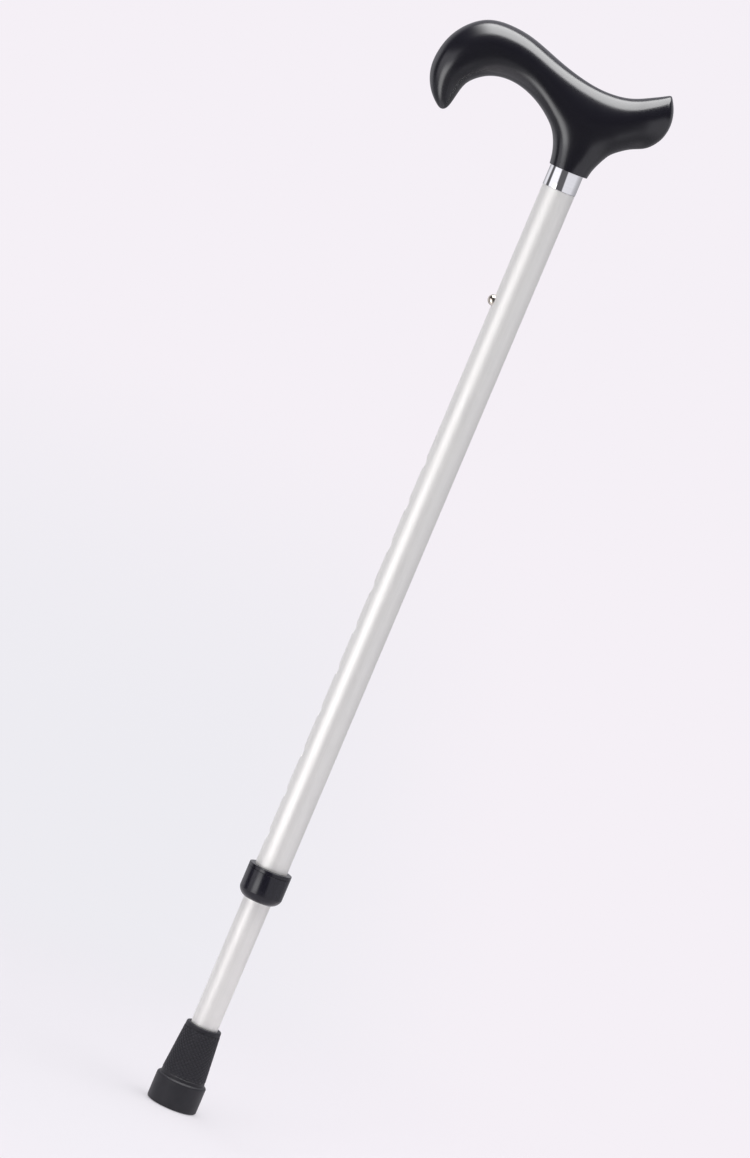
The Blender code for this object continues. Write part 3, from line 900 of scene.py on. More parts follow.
@dataclass(frozen=True)
class Thread:
    """A right-hand screw thread's ridge. It thins out over its run-out, a share of a turn, to its
    end share, and its start turn says where round the piece it starts."""

    radius: float
    pitch: float
    turns: float
    foot_height: float
    ridge: float
    start_turn: float = 0.0
    run_out: float = 0.25
    end_share: float = 0.35
    steps: int = 72


class Wardrobe:
    """The materials, by slot, and the groups that shape pieces in them."""

    def __init__(self, groups: Groups) -> None:
        """Builds every finish once.

        Args:
            groups: The shared node groups.
        """
        self.groups = groups
        self.materials = {finish.slot: finish.material(groups) for finish in FINISHES}

    def dress(self, obj: bpy.types.Object, finish: Finish) -> None:
        """Gives an object a finish all over."""
        obj.data.materials.clear()
        obj.data.materials.append(self.materials[finish.slot])

    def cut_thread(self, obj: bpy.types.Object, finish: Finish, thread: Thread) -> None:
        """Adds a screw thread to a piece and shades the piece."""
        material = self.materials[finish.slot]
        grow(obj, self.groups.thread, material=material, **asdict(thread))
        shade(obj)

    def hand_over(self, obj: bpy.types.Object, finish: Finish, body: Body, node: str) -> None:
        """Dresses a piece, sets it on its body and hides the solid that it stands for.

        Args:
            obj: The piece.
            finish: Its finish.
            body: The body that it rides on.
            node: The solid that it stands for.
        """
        self.dress(obj, finish)
        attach(obj, body.value)
        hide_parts(node)
        faces = len(obj.data.polygons)
        log.info("%s: %d faces, %s, on %s", obj.name, faces, finish.slot, body.value)


# Sub-assemblies


@dataclass
class DerbyHandle:
    """The handle, in millimetres above its neck's cut face. Each section of the grip and of the
    tail runs from its upper or outer point to the one under it, and bulges by its half width."""

    wardrobe: Wardrobe
    foot: float = 567.7 * MM
    levels: int = 4
    bore: float = 6.15 * MM
    bore_depth: float = 28 * MM
    neck_edge: float = 0.35 * MM
    ring_radius: float = 9.65 * MM
    seam: float = 0.05 * MM
    sharp: float = math.radians(50)
    grip: tuple[Corner, ...] = (
        (-80.6, 5.8, -74.2, 6.4, 3.7),
        (-86.5, 12.0, -72.5, 12.9, 7.2),
        (-90.9, 22.0, -70.6, 20.6, 10.6),
        (-90.8, 34.0, -66.9, 26.0, 12.7),
        (-85.7, 47.3, -60.8, 30.5, 13.5),
        (-73.5, 58.6, -53.0, 33.0, 13.7),
        (-58.5, 61.28, -44.5, 33.0, 13.5),
        (-45.0, 59.5, -36.0, 30.8, 13.1),
        (-32.0, 55.4, -27.5, 26.6, 12.6),
        (-18.0, 51.1, -19.6, 20.6, 12.2),
    )
    saddle: Corner = (-1.0, 48.1, -1.0, 5.9, 11.8)
    saddle_hem: float = 20.5 * MM
    tail: tuple[Corner, ...] = (
        (15.0, 49.4, 20.3, 18.6, 11.6),
        (25.5, 53.8, 27.6, 24.0, 11.2),
        (31.7, 57.15, 35.1, 27.9, 10.3),
        (36.9, 58.6, 40.3, 34.0, 8.5),
        (41.15, 53.1, 42.45, 39.4, 6.2),
    )
    nose_pull: Point = (-76.9, 3.0)
    tail_pull: Point = (43.85, 44.6)
    tail_crease: float = 0.4
    neck_flatness: tuple[float, ...] = (0.3, 0.24, 0.12, 0.02)
    crook_fullness: tuple[float, float, float] = (1.1, 1.18, 1.12)
    eased: tuple[Corner, ...] = ((-7.5, 17.0, 15.0), (15.0, 18.0, 13.0), (26.0, 31.0, 14.0))
    eased_depth: Point = (3.0, 7.0)
    eased_rise: float = 1.5
    eased_rounds: int = 90
    neck: tuple[Corner, ...] = (
        (5.35, 14.8, 7.25, 14.3, 1.95),
        (2.45, 8.1, 4.15, 7.6, 1.65),
        (0.95, 1.0, 2.35, 1.0, 1.45),
        (0.15, -7.0, 1.55, -7.0, 1.35),
    )
    draw_in: float = field(default=(4 + 2 * math.cos(math.pi / 4)) / 6, init=False)

    def build(self) -> None:
        obj = place("derby_handle", self.cage())
        halves = obj.modifiers.new("halves", "MIRROR")
        halves.use_axis = (False, True, False)
        halves.use_clip = True
        halves.merge_threshold = self.seam
        surface = obj.modifiers.new("surface", "SUBSURF")
        surface.levels = self.levels
        surface.render_levels = self.levels
        bake(obj)
        self.ease(obj)
        self.trim(obj)
        shade(obj, self.sharp)
        self.wardrobe.hand_over(obj, SATIN_BLACK, Body.UPPER, "handle")

    def cage(self) -> bmesh.types.BMesh:
        """Builds the +Y half of the cage: rings from the nose over the saddle to the tail, and
        the neck's rings under the gap that the saddle's open ring leaves.

        Returns:
            The cage.
        """
        grip = np.array(self.grip) * MM
        saddle = np.array(self.saddle) * MM
        tail = np.array(self.tail) * MM
        flare = np.array((1, 0, 1, 0, 1)) * self.ring_radius
        neck = np.array(self.neck) * MM + flare
        neck[:, 0] *= -1
        nose_pull = np.array(self.nose_pull) * MM
        tail_pull = np.array(self.tail_pull) * MM
        top = self.spline([nose_pull, *grip[:, :2], saddle[:2], *tail[:, :2], tail_pull])
        left = self.spline([nose_pull, *grip[:, 2:4], *neck[:, :2]])
        right = self.spline([tail_pull, *tail[::-1, 2:4], *neck[:, 2:4]])
        grips, tails = len(grip), len(tail)

        cage = bmesh.new()
        rings = [
            self.half_ring(cage, *ends)
            for ends in zip(top[1 : grips + 1], left[1 : grips + 1], grip[:, 4])
        ]
        middle = self.half_ring(cage, top[grips + 1], saddle[2:4], saddle[4])
        cage.verts.remove(middle.pop())
        middle[3].co.yz = middle[2].co.y, self.saddle_hem
        tail_rings = [
            self.half_ring(cage, *ends)
            for ends in zip(top[grips + 2 : -1], right[tails:0:-1], tail[:, 4])
        ]
        neck_rings = [
            self.half_ring(cage, *ends)
            for ends in zip(left[grips + 1 :], right[tails + 1 :], neck[:, 4])
        ]
        for ring, fullness in zip((rings[-2], rings[-1], tail_rings[0]), self.crook_fullness):
            ring[3].co.y *= fullness
        for ring, flatness in zip(neck_rings, self.neck_flatness):
            kept = 1 / (1 + flatness * (1 - 2 / 3 / self.draw_in))
            for vert, share in zip(ring[1:4], (1 + flatness, 1, 1 + flatness)):
                vert.co.y *= share * kept
        rim = [*rings[-1][:2:-1], middle[3], *tail_rings[0][3:]]
        lengthwise = [*rings, middle, *tail_rings]
        for first, second in [
            *zip(lengthwise, lengthwise[1:]),
            *zip([rim, *neck_rings], neck_rings),
        ]:
            for side in range(min(len(first), len(second)) - 1):
                cage.faces.new((first[side], first[side + 1], second[side + 1], second[side]))
        self.cap(cage, rings[0], nose_pull)
        self.cap(cage, tail_rings[-1], tail_pull)
        self.cap(cage, neck_rings[-1], (left[-1] + right[-1]) / 2)
        crease = cage.edges.layers.float.new("crease_edge")
        brow = tail_rings[-2]
        cage.edges.get(brow[0:2])[crease] = self.tail_crease
        cage.edges.get(brow[1:3])[crease] = self.tail_crease / 2
        bmesh.ops.recalc_face_normals(cage, faces=cage.faces)
        return cage

    @staticmethod
    def spline(points: Sequence[Any]) -> np.ndarray:
        """Finds the control points of the uniform cubic spline through these points.

        Args:
            points: The points that it passes through.

        Returns:
            As many control points.
        """
        weights = np.eye(len(points))
        for row in range(1, len(points) - 1):
            weights[row, row - 1 : row + 2] = (1 / 6, 4 / 6, 1 / 6)
        return np.linalg.solve(weights, points)

    def half_ring(
        self, cage: bmesh.types.BMesh, first: np.ndarray, last: np.ndarray, half_width: float
    ) -> list[bmesh.types.BMVert]:
        """Adds five vertices round the +Y side of an oval section.

        Args:
            cage: The cage.
            first: The section's upper or outer point.
            last: The point under it.
            half_width: Its half width.

        Returns:
            The vertices, which stand out by as much as subdivision draws them in.
        """
        centre = (first + last) / 2
        reach = (first - last) / 2 / self.draw_in
        ring = []
        for step in range(5):
            x, z = centre + reach * math.cos(step * math.pi / 4)
            y = half_width * math.sin(step * math.pi / 4) / self.draw_in
            ring.append(cage.verts.new((x, y if step % 4 else 0, z)))
        return ring

    @staticmethod
    def cap(
        cage: bmesh.types.BMesh, ring: list[bmesh.types.BMVert], tip: Sequence[float]
    ) -> None:
        """Closes a half ring with two faces about a point.

        Args:
            cage: The cage.
            ring: The ring.
            tip: The point, as x and z.
        """
        point = cage.verts.new((tip[0], 0, tip[1]))
        cage.faces.new((point, ring[2], ring[1], ring[0]))
        cage.faces.new((point, ring[4], ring[3], ring[2]))

    def ease(self, obj: bpy.types.Object) -> None:
        """Smooths the flanks where the neck meets the grip and the tail, and leaves the handle's
        outline as it is.

        Args:
            obj: The handle's object.
        """
        spots = np.empty(3 * len(obj.data.vertices))
        obj.data.vertices.foreach_get("co", spots)
        across, depth, height = spots.reshape(-1, 3).T / MM
        near = np.zeros(len(across))
        for x, z, reach in self.eased:
            gap = np.hypot(across - x, height - z) / reach
            near = np.maximum(near, np.clip(self.eased_rise * (1 - gap), 0, 1))
        low, high = self.eased_depth
        weights = near * np.clip((np.abs(depth) - low) / (high - low), 0, 1)
        flanks = obj.vertex_groups.new(name="flanks")
        for index in np.flatnonzero(weights):
            flanks.add([int(index)], float(weights[index]), "REPLACE")
        smooth = obj.modifiers.new("flanks", "SMOOTH")
        smooth.iterations = self.eased_rounds
        smooth.vertex_group = flanks.name
        bake(obj)
        obj.vertex_groups.clear()

    def trim(self, obj: bpy.types.Object) -> None:
        """Cuts the neck flat, softens its edge, sinks the insert's bore and lifts the handle.

        Args:
            obj: The handle's object.
        """
        shape = bmesh.new()
        shape.from_mesh(obj.data)
        everything = [*shape.verts, *shape.edges, *shape.faces]
        bmesh.ops.bisect_plane(
            shape, geom=everything, plane_co=(0, 0, 0), plane_no=(0, 0, 1), clear_inner=True
        )
        rim = [edge for edge in shape.edges if edge.is_boundary]
        bmesh.ops.holes_fill(shape, edges=rim)
        bmesh.ops.bevel(
            shape, geom=rim, offset=self.neck_edge, segments=3, affect="EDGES", clamp_overlap=True
        )
        floor = max(shape.faces, key=lambda face: len(face.verts))
        rim_count = len(floor.verts)
        edges = list(floor.edges)
        bmesh.ops.delete(shape, geom=[floor], context="FACES_ONLY")
        mouth = bmesh.ops.create_circle(shape, cap_ends=False, segments=rim_count, radius=self.bore)
        circle = list(dict.fromkeys(edge for vert in mouth["verts"] for edge in vert.link_edges))
        bmesh.ops.bridge_loops(shape, edges=[*edges, *circle])
        sunk = bmesh.ops.extrude_edge_only(shape, edges=circle)
        top = [item for item in sunk["geom"] if isinstance(item, bmesh.types.BMVert)]
        bmesh.ops.translate(shape, verts=top, vec=(0, 0, self.bore_depth))
        roof = [item for item in sunk["geom"] if isinstance(item, bmesh.types.BMEdge)]
        bmesh.ops.holes_fill(shape, edges=[edge for edge in roof if edge.is_boundary])
        bmesh.ops.recalc_face_normals(shape, faces=shape.faces)
        bmesh.ops.translate(shape, verts=shape.verts, vec=(0, 0, self.foot))
        shape.to_mesh(obj.data)
        shape.free()


@dataclass
class NeckJoint:
    """The polished ring between handle and tube, and the stud that holds them together."""

    wardrobe: Wardrobe
    ring_radius: float = 9.65 * MM
    ring_bore: float = 8.3 * MM
    ring_edge: float = 0.12 * MM
    ring_reach: float = 0.25 * MM
    ring_sides: int = 192
    stud_root: float = 3.45 * MM
    stud_crest: float = 4.0 * MM
    stud_pitch: float = 1.25 * MM
    stud_end: float = 0.7 * MM
    stud_taper: float = 0.2 * MM
    stud_sides: int = 48
    crest_share: float = 0.98
    run_out: float = 0.5

    def build(self) -> None:
        self.add_ring()
        self.add_stud()

    def add_ring(self) -> None:
        """Turns the ring, which reaches over the solid's gaps to the handle and the tube."""
        low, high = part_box("chrome_ring")
        foot, top = low.z - self.ring_reach, high.z + self.ring_reach
        corners = [
            (self.ring_radius, top, self.ring_edge),
            (self.ring_radius, foot, self.ring_edge),
            (self.ring_bore, foot),
            (self.ring_bore, top),
        ]
        ring = place("neck_ring", lathe(rounded(corners), sides=self.ring_sides))
        shade(ring)
        self.wardrobe.hand_over(ring, CHROME, Body.UPPER, "chrome_ring")

    def add_stud(self) -> None:
        """Turns the stud and cuts its thread from end to end."""
        low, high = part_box("handle_stud")
        tip = self.stud_root - self.stud_taper
        profile = [
            (0, high.z),
            (tip, high.z),
            (self.stud_root, high.z - self.stud_end),
            (self.stud_root, low.z + self.stud_end),
            (tip, low.z),
            (0, low.z),
        ]
        stud = place("threaded_stud", lathe(profile, sides=self.stud_sides, closed=False))
        ridge = (self.stud_crest - self.stud_root) * self.crest_share
        length = high.z - low.z - 2 * self.stud_end - 2 * ridge
        thread = Thread(
            radius=self.stud_root,
            pitch=self.stud_pitch,
            turns=length / self.stud_pitch,
            foot_height=low.z + self.stud_end + ridge,
            ridge=ridge,
            run_out=self.run_out,
        )
        self.wardrobe.cut_thread(stud, ZINC_STEEL, thread)
        self.wardrobe.hand_over(stud, ZINC_STEEL, Body.UPPER, "handle_stud")


@dataclass
class SlidingTubes:
    """The upper tube, with its row of adjusting holes, and the lower tube inside it."""

    wardrobe: Wardrobe
    wall: float = 1.2 * MM
    hole: float = 3.5 * MM
    deburr: float = 0.22 * MM
    end_chamfer: float = 0.12 * MM
    pitch: float = 25 * MM
    count: int = 10
    first_hole: float = 388 * MM
    storage_hole: float = 486 * MM
    window: float = 5.4 * MM
    cells: int = 12
    other_columns: int = 60
    rings: int = 4
    sharp: float = math.radians(30)

    def build(self) -> None:
        """Builds both tubes."""
        row = [self.first_hole - self.pitch * index for index in range(self.count)]
        self.add_tube("outer_tube", "upper_tube", Body.UPPER, row, [self.storage_hole])
        self.add_tube("inner_tube", "lower_tube", Body.LOWER, [self.storage_hole], [])

    def add_tube(
        self, name: str, node: str, body: Body, row: list[float], others: list[float]
    ) -> None:
        """Builds one tube, as plain runs between drilled slices of one pitch.

        Args:
            name: The piece's name.
            node: The solid that it stands for.
            body: The body that it rides on.
            row: The heights of its even row of holes, from the top down.
            others: The heights of its other holes.
        """
        low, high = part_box(node)
        radius, half = high.y, self.pitch / 2
        ends = [low.z]
        for hole in sorted([*row, *others]):
            ends += [hole - half, hole + half]
        ends.append(high.z)
        shape = bmesh.new()
        for foot, top in zip(ends[::2], ends[1::2]):
            if top - foot > WELD:
                self.walls(shape, radius, [foot, top])
        self.close_end(shape, radius, low.z, 1)
        self.close_end(shape, radius, high.z, -1)
        for hole in others:
            self.drilled(shape, radius, hole)
        obj = place(name, shape)

        cell = bmesh.new()
        self.drilled(cell, radius, 0)
        drilled = place(name + "_slice", cell)
        grow(
            obj,
            self.wardrobe.groups.stack,
            slice=drilled,
            count=len(row),
            pitch=self.pitch,
            first_height=row[0],
            material=self.wardrobe.materials[SATIN_SILVER.slot],
        )
        bpy.data.objects.remove(drilled)
        self.face_out(obj)
        shade(obj, self.sharp)
        self.wardrobe.hand_over(obj, SATIN_SILVER, body, node)

    @staticmethod
    def face_out(obj: bpy.types.Object) -> None:
        """Points an object's faces outwards."""
        shape = bmesh.new()
        shape.from_mesh(obj.data)
        bmesh.ops.recalc_face_normals(shape, faces=shape.faces)
        shape.to_mesh(obj.data)
        shape.free()

    def columns(self, radius: float) -> list[Point]:
        """Lists where the tube's columns stand: evenly in y across the window that holds a hole,
        then evenly round the rest.

        Args:
            radius: The wall face's radius.

        Returns:
            The columns' x and y.
        """
        across = np.linspace(self.window, -self.window, self.cells + 1)
        front = [(-math.sqrt(radius**2 - y**2), y) for y in across]
        half = math.asin(self.window / radius)
        angles = np.linspace(math.pi + half, 3 * math.pi - half, self.other_columns + 2)[1:-1]
        return front + [(radius * math.cos(a), radius * math.sin(a)) for a in angles]

    def ring(
        self, shape: bmesh.types.BMesh, radius: float, height: float
    ) -> list[bmesh.types.BMVert]:
        """Adds a ring of vertices, one in each of the tube's columns, and returns them."""
        return [shape.verts.new((x, y, height)) for x, y in self.columns(radius)]

    def walls(self, shape: bmesh.types.BMesh, radius: float, heights: list[float]) -> None:
        """Adds the outer and inner face of a plain run.

        Args:
            shape: The shape.
            radius: The outer radius.
            heights: The run's ends.
        """
        for face_radius in (radius, radius - self.wall):
            foot, top = (self.ring(shape, face_radius, height) for height in heights)
            join_rings(shape, foot, top)

    def close_end(
        self, shape: bmesh.types.BMesh, radius: float, height: float, inwards: int
    ) -> None:
        """Adds the flat end with its chamfers. They start at the end rings that the walls have.

        Args:
            shape: The shape.
            radius: The outer radius.
            height: The end's height.
            inwards: 1 at the lower end and -1 at the upper end.
        """
        bore = radius - self.wall
        chamfer = self.end_chamfer
        for vert in shape.verts:
            if abs(vert.co.z - height) < WELD:
                vert.co.z += inwards * chamfer
        steps = (
            (radius, height + inwards * chamfer),
            (radius - chamfer, height),
            (bore + chamfer, height),
            (bore, height + inwards * chamfer),
        )
        rings = [self.ring(shape, *step) for step in steps]
        for first, second in zip(rings, rings[1:]):
            join_rings(shape, first, second)
        bmesh.ops.remove_doubles(shape, verts=shape.verts, dist=WELD)

    def drilled(self, shape: bmesh.types.BMesh, radius: float, height: float) -> None:
        """Adds a slice, one pitch high, with a deburred hole in its middle.

        Args:
            shape: The shape.
            radius: The tube's outer radius.
            height: The hole's height.
        """
        outer = self.windowed(shape, radius, height, self.hole + self.deburr)
        edge = self.hole_ring(shape, radius, height, self.hole, sunk=self.deburr)
        inner = self.windowed(shape, radius - self.wall, height, self.hole)
        join_rings(shape, outer, edge)
        join_rings(shape, edge, inner)

    def spokes(self) -> list[Point]:
        """Lists the window's border points, in order round it.

        Returns:
            Their offsets across and up.
        """
        steps = list(np.linspace(self.window, -self.window, self.cells + 1))
        side = self.window
        border = [(y, -side) for y in steps[:-1]]
        border += [(-side, -z) for z in steps[:-1]]
        border += [(-y, side) for y in steps[:-1]]
        border += [(side, z) for z in steps[:-1]]
        return border

    def hole_ring(
        self,
        shape: bmesh.types.BMesh,
        radius: float,
        height: float,
        hole: float,
        share: float = 1.0,
        sunk: float = 0.0,
    ) -> list[bmesh.types.BMVert]:
        """Adds a ring between the square window's border and a round hole.

        Args:
            shape: The shape.
            radius: The wall face's radius.
            height: The hole's height.
            hole: The hole's radius.
            share: How far the ring is from the border to the hole.
            sunk: How far it lies under the face.

        Returns:
            Its vertices.
        """
        ring = []
        for across, up in self.spokes():
            pull = 1 - share + share * hole / math.hypot(across, up)
            y, z = across * pull, up * pull
            ring.append(shape.verts.new((sunk - math.sqrt(radius**2 - y**2), y, height + z)))
        return ring

    def windowed(
        self, shape: bmesh.types.BMesh, radius: float, height: float, hole: float
    ) -> list[bmesh.types.BMVert]:
        """Adds one wall face of a drilled slice.

        Args:
            shape: The shape.
            radius: The wall face's radius.
            height: The hole's height.
            hole: The hole's radius on this face.

        Returns:
            The ring of vertices at the hole.
        """
        columns = self.columns(radius)
        half = self.pitch / 2
        inside = np.linspace(-self.window, self.window, self.cells + 1)
        levels = [-half, *inside, half]
        grid: dict[tuple[int, int], bmesh.types.BMVert] = {}
        last_row = len(levels) - 2
        for row, level in enumerate(levels):
            for column, (x, y) in enumerate(columns):
                within = 0 < column < self.cells and 1 < row < last_row
                if not within:
                    grid[row, column] = shape.verts.new((x, y, height + level))
        count = len(columns)
        for row in range(len(levels) - 1):
            for column in range(count):
                if column < self.cells and 1 <= row < last_row:
                    continue
                after = (column + 1) % count
                corners = ((row, column), (row, after), (row + 1, after), (row + 1, column))
                shape.faces.new([grid[corner] for corner in corners])
        border = [grid[1, column] for column in range(self.cells)]
        border += [grid[row, self.cells] for row in range(1, last_row)]
        border += [grid[last_row, column] for column in range(self.cells, 0, -1)]
        border += [grid[row, 0] for row in range(last_row, 1, -1)]
        ring = border
        for step in range(self.rings):
            outer = ring
            ring = self.hole_ring(shape, radius, height, hole, (step + 1) / self.rings)
            join_rings(shape, outer, ring)
        return ring


@dataclass
class HeightLock:
    """The spring button that locks the tubes, and the leaf behind it. The leaf bends from its
    lower end, which stays in the tube, to the flat that carries the button."""

    wardrobe: Wardrobe
    leaf_node: bpy.types.Object
    height: float = 486 * MM
    radius: float = 3.2 * MM
    flange: float = 3.9 * MM
    rivet: float = 1.5 * MM
    face: float = 4.4 * MM
    flange_thickness: float = 0.8 * MM
    dome_steps: int = 24
    sides: int = 64
    leaf_step: float = 2.0 * MM
    still: tuple[float, float, float] = (-1.7 * MM, 0.0, 456.0 * MM)
    carried: tuple[float, float, float] = (-8.5 * MM, 0.0, 457.4 * MM)

    def build(self) -> None:
        self.add_button()
        self.add_leaf()

    def add_button(self) -> None:
        """Turns the button about the axis along which it is pressed."""
        low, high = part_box("snap_button")
        tip, tail = -low.x, -high.x
        dome_foot = tip - self.radius
        flange_top = self.face + self.flange_thickness
        profile = [
            *arc((0, dome_foot), self.radius, math.pi / 2, 0, self.dome_steps),
            (self.radius, flange_top),
            (self.flange, flange_top),
            (self.flange, self.face),
            (self.rivet, self.face),
            (self.rivet, tail),
            (0, tail),
        ]
        shape = lathe(profile, sides=self.sides, closed=False)
        turn = Matrix.Rotation(-math.pi / 2, 4, "Y")
        bmesh.ops.transform(
            shape, matrix=Matrix.Translation((0, 0, self.height)) @ turn, verts=shape.verts
        )
        obj = place("spring_button", shape)
        shade(obj)
        self.wardrobe.hand_over(obj, NICKEL, Body.BUTTON, "snap_button")

    def add_leaf(self) -> None:
        shape = bmesh.new()
        shape.from_mesh(self.leaf_node.data)
        bmesh.ops.remove_doubles(shape, verts=shape.verts, dist=WELD)
        low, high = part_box("button_spring")
        for height in np.arange(low.z + self.leaf_step, high.z, self.leaf_step):
            everything = [*shape.verts, *shape.edges, *shape.faces]
            place_of_cut = (0, 0, height)
            bmesh.ops.bisect_plane(
                shape, geom=everything, plane_co=place_of_cut, plane_no=(0, 0, 1)
            )
        bmesh.ops.recalc_face_normals(shape, faces=shape.faces)
        leaf = place("leaf_spring", shape)
        shade(leaf)
        self.wardrobe.dress(leaf, SPRING_STEEL)
        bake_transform(leaf)
        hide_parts("button_spring")
        log.info("%s: bends between the lower shaft and the button", leaf.name)


@dataclass
class CollarClamp:
    """The flanged sleeve on the upper tube and the locking collar that screws onto it."""

    wardrobe: Wardrobe
    radius: float = 12.6 * MM
    edge: float = 0.35 * MM
    seam_edge: float = 0.08 * MM
    sleeve: float = 10.65 * MM
    guide: float = 8.3 * MM
    socket: float = 9.65 * MM
    socket_foot: float = 135.7 * MM
    flange: float = 2.12 * MM
    collar_bore: float = 11.4 * MM
    seat_radius: float = 9.7 * MM
    seat_taper: float = 0.9 * MM
    seat_height: float = 128.1 * MM
    seat_top: float = 133.4 * MM
    nose_height: float = 4.8 * MM
    nose_bulge: float = 0.8 * MM
    mouth: float = 0.5 * MM
    pitch: float = 1.5 * MM
    turns: float = 3.0
    ridge: float = 0.7 * MM
    root: float = 0.15 * MM
    gap: float = 0.3 * MM
    thread_top: float = 143.3 * MM

    def build(self) -> None:
        self.add_sleeve()
        self.add_collar()

    def add_sleeve(self) -> None:
        """Turns the sleeve under its flange and cuts its outer thread."""
        low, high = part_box("clamp_sleeve")
        flange_foot = high.z - self.flange
        corners = [
            (self.radius, high.z, self.edge),
            (self.radius, flange_foot, self.seam_edge),
            (self.sleeve, flange_foot),
            (self.sleeve, low.z),
            (self.guide, low.z),
            (self.guide, self.socket_foot),
            (self.socket, self.socket_foot),
            (self.socket, high.z),
        ]
        sleeve = place("flanged_sleeve", lathe(rounded(corners)))
        thread = self.thread(self.sleeve - self.root, self.thread_top, 0.0)
        self.wardrobe.cut_thread(sleeve, GLOSS_BLACK, thread)
        self.wardrobe.hand_over(sleeve, GLOSS_BLACK, Body.UPPER, "clamp_sleeve")

    def add_collar(self) -> None:
        """Turns the collar over its cone seat and cuts its inner thread, which runs half a turn
        from the sleeve's, but for the gap."""
        low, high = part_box("locking_collar")
        nose_top = (self.radius, low.z + self.nose_height)
        nose_foot = (self.guide + self.mouth, low.z)
        corners = [
            (self.radius, high.z, self.seam_edge),
            nose_top,
            *bulged(nose_top, nose_foot, self.nose_bulge),
            nose_foot,
            (self.guide, low.z),
            (self.guide, self.seat_height),
            (self.seat_radius, self.seat_height),
            (self.seat_radius + self.seat_taper, self.seat_top),
            (self.collar_bore, self.seat_top),
            (self.collar_bore, high.z),
        ]
        collar = place("screw_collar", lathe(rounded(corners)))
        thread = self.thread(self.collar_bore + self.root, high.z, 0.5 - self.gap / self.pitch)
        self.wardrobe.cut_thread(collar, GLOSS_BLACK, thread)
        self.wardrobe.hand_over(collar, GLOSS_BLACK, Body.COLLAR, "locking_collar")

    def thread(self, radius: float, top: float, start_turn: float) -> Thread:
        """Works out the thread of a piece.

        Args:
            radius: The radius of the ridge's middle.
            top: The height that the ridge ends under.
            start_turn: Where round the piece it starts, as a share of a turn.

        Returns:
            The thread.
        """
        below_top = self.gap + self.ridge - self.root + self.turns * self.pitch
        return Thread(radius, self.pitch, self.turns, top - below_top, self.ridge, start_turn)


@dataclass
class RubberTip:
    """The rubber ferrule, with its diamond pattern, base band and tread."""

    wardrobe: Wardrobe
    height: float = 48.6 * MM
    socket: float = 8.15 * MM
    rim: float = 10.3 * MM
    body: float = 13.1 * MM
    base: float = 14.7 * MM
    base_height: float = 16.2 * MM
    sole: float = 9.2 * MM
    rim_edge: float = 0.6 * MM
    shoulder: float = 1.2 * MM
    step: float = 0.3 * MM
    sole_edge: float = 1.2 * MM
    groove_depth: float = 1.2 * MM
    groove_width: float = 1.4 * MM
    groove_edge: float = 0.15 * MM
    groove_middles: tuple[float, ...] = (10.6 * MM, 6.9 * MM)
    relief: float = 0.26 * MM
    knurl_foot: float = 18.0 * MM
    knurl_top: float = 46.4 * MM
    around: int = 28
    rows: int = 22
    land: float = 0.45
    groove: float = 0.06
    sunk: float = 0.62
    sharp: float = math.radians(30)

    def build(self) -> None:
        """The knurl's studs stand on a shallow recess, with their feet sunk by a share
        of their relief."""
        tread: list[Corner] = []
        for middle in self.groove_middles:
            outer = middle + self.groove_width / 2
            inner = middle - self.groove_width / 2
            tread += [
                (outer, 0, self.groove_edge),
                (outer, self.groove_depth),
                (inner, self.groove_depth),
                (inner, 0, self.groove_edge),
            ]
        corners: list[Corner] = [
            (0, self.sole),
            (self.socket, self.sole),
            (self.socket, self.height, self.rim_edge),
            (self.rim, self.height, self.rim_edge),
            (self.cone(self.knurl_top), self.knurl_top),
            (self.cone(self.knurl_top) - self.relief, self.knurl_top - self.relief),
            (self.cone(self.knurl_foot) - self.relief, self.knurl_foot + self.relief),
            (self.cone(self.knurl_foot), self.knurl_foot),
            (self.body, self.base_height, self.step),
            (self.base, self.base_height, self.shoulder),
            (self.base, 0, self.sole_edge),
            *tread,
            (0, 0),
        ]
        obj = place("rubber_ferrule", lathe(rounded(corners), closed=False))
        grow(
            obj,
            self.wardrobe.groups.knurl,
            around=self.around,
            rows=self.rows,
            foot_radius=self.cone(self.knurl_foot) - self.relief * self.sunk,
            top_radius=self.cone(self.knurl_top) - self.relief * self.sunk,
            foot_height=self.knurl_foot + self.relief,
            top_height=self.knurl_top - self.relief,
            relief=self.relief,
            land_share=self.land,
            groove_share=self.groove,
            material=self.wardrobe.materials[BLACK_RUBBER.slot],
        )
        shade(obj, self.sharp)
        self.wardrobe.hand_over(obj, BLACK_RUBBER, Body.LOWER, "ferrule")

    def cone(self, height: float) -> float:
        """Finds the tapered body's radius at a height."""
        share = (height - self.base_height) / (self.height - self.base_height)
        return self.body + (self.rim - self.body) * share


@dataclass
class HiddenParts:
    """The small solids inside the shaft, which keep their shape and get their finish."""

    wardrobe: Wardrobe
    finishes: tuple[tuple[str, Finish], ...] = (
        ("threaded_insert", BRASS),
        ("tube_plug", GREY_NYLON),
        ("clamp_ring", GREY_NYLON),
        ("guide_bush", GREY_NYLON),
        ("ferrule_washer", ZINC_STEEL),
    )

    def build(self, nodes: dict[str, bpy.types.Object]) -> None:
        """Dresses the solids.

        Args:
            nodes: The loaded solids by name.
        """
        for name, finish in self.finishes:
            self.wardrobe.dress(nodes[name], finish)
            log.info("%s: %s", name, finish.slot)


# Studio


@dataclass(frozen=True)
class Softbox:
    """A square soft lamp, set out in the picture's directions about the cane's middle. Its
    brightness is that of its face's middle, where 1 is white. Its falloff is the share of its
    width and of its height over which each edge fades, down to the edge's share of it."""

    name: str
    right: float
    up: float
    front: float
    width: float
    height: float
    brightness: float
    falloff: tuple[float, float]
    edge_share: float
    faces_down: bool = False


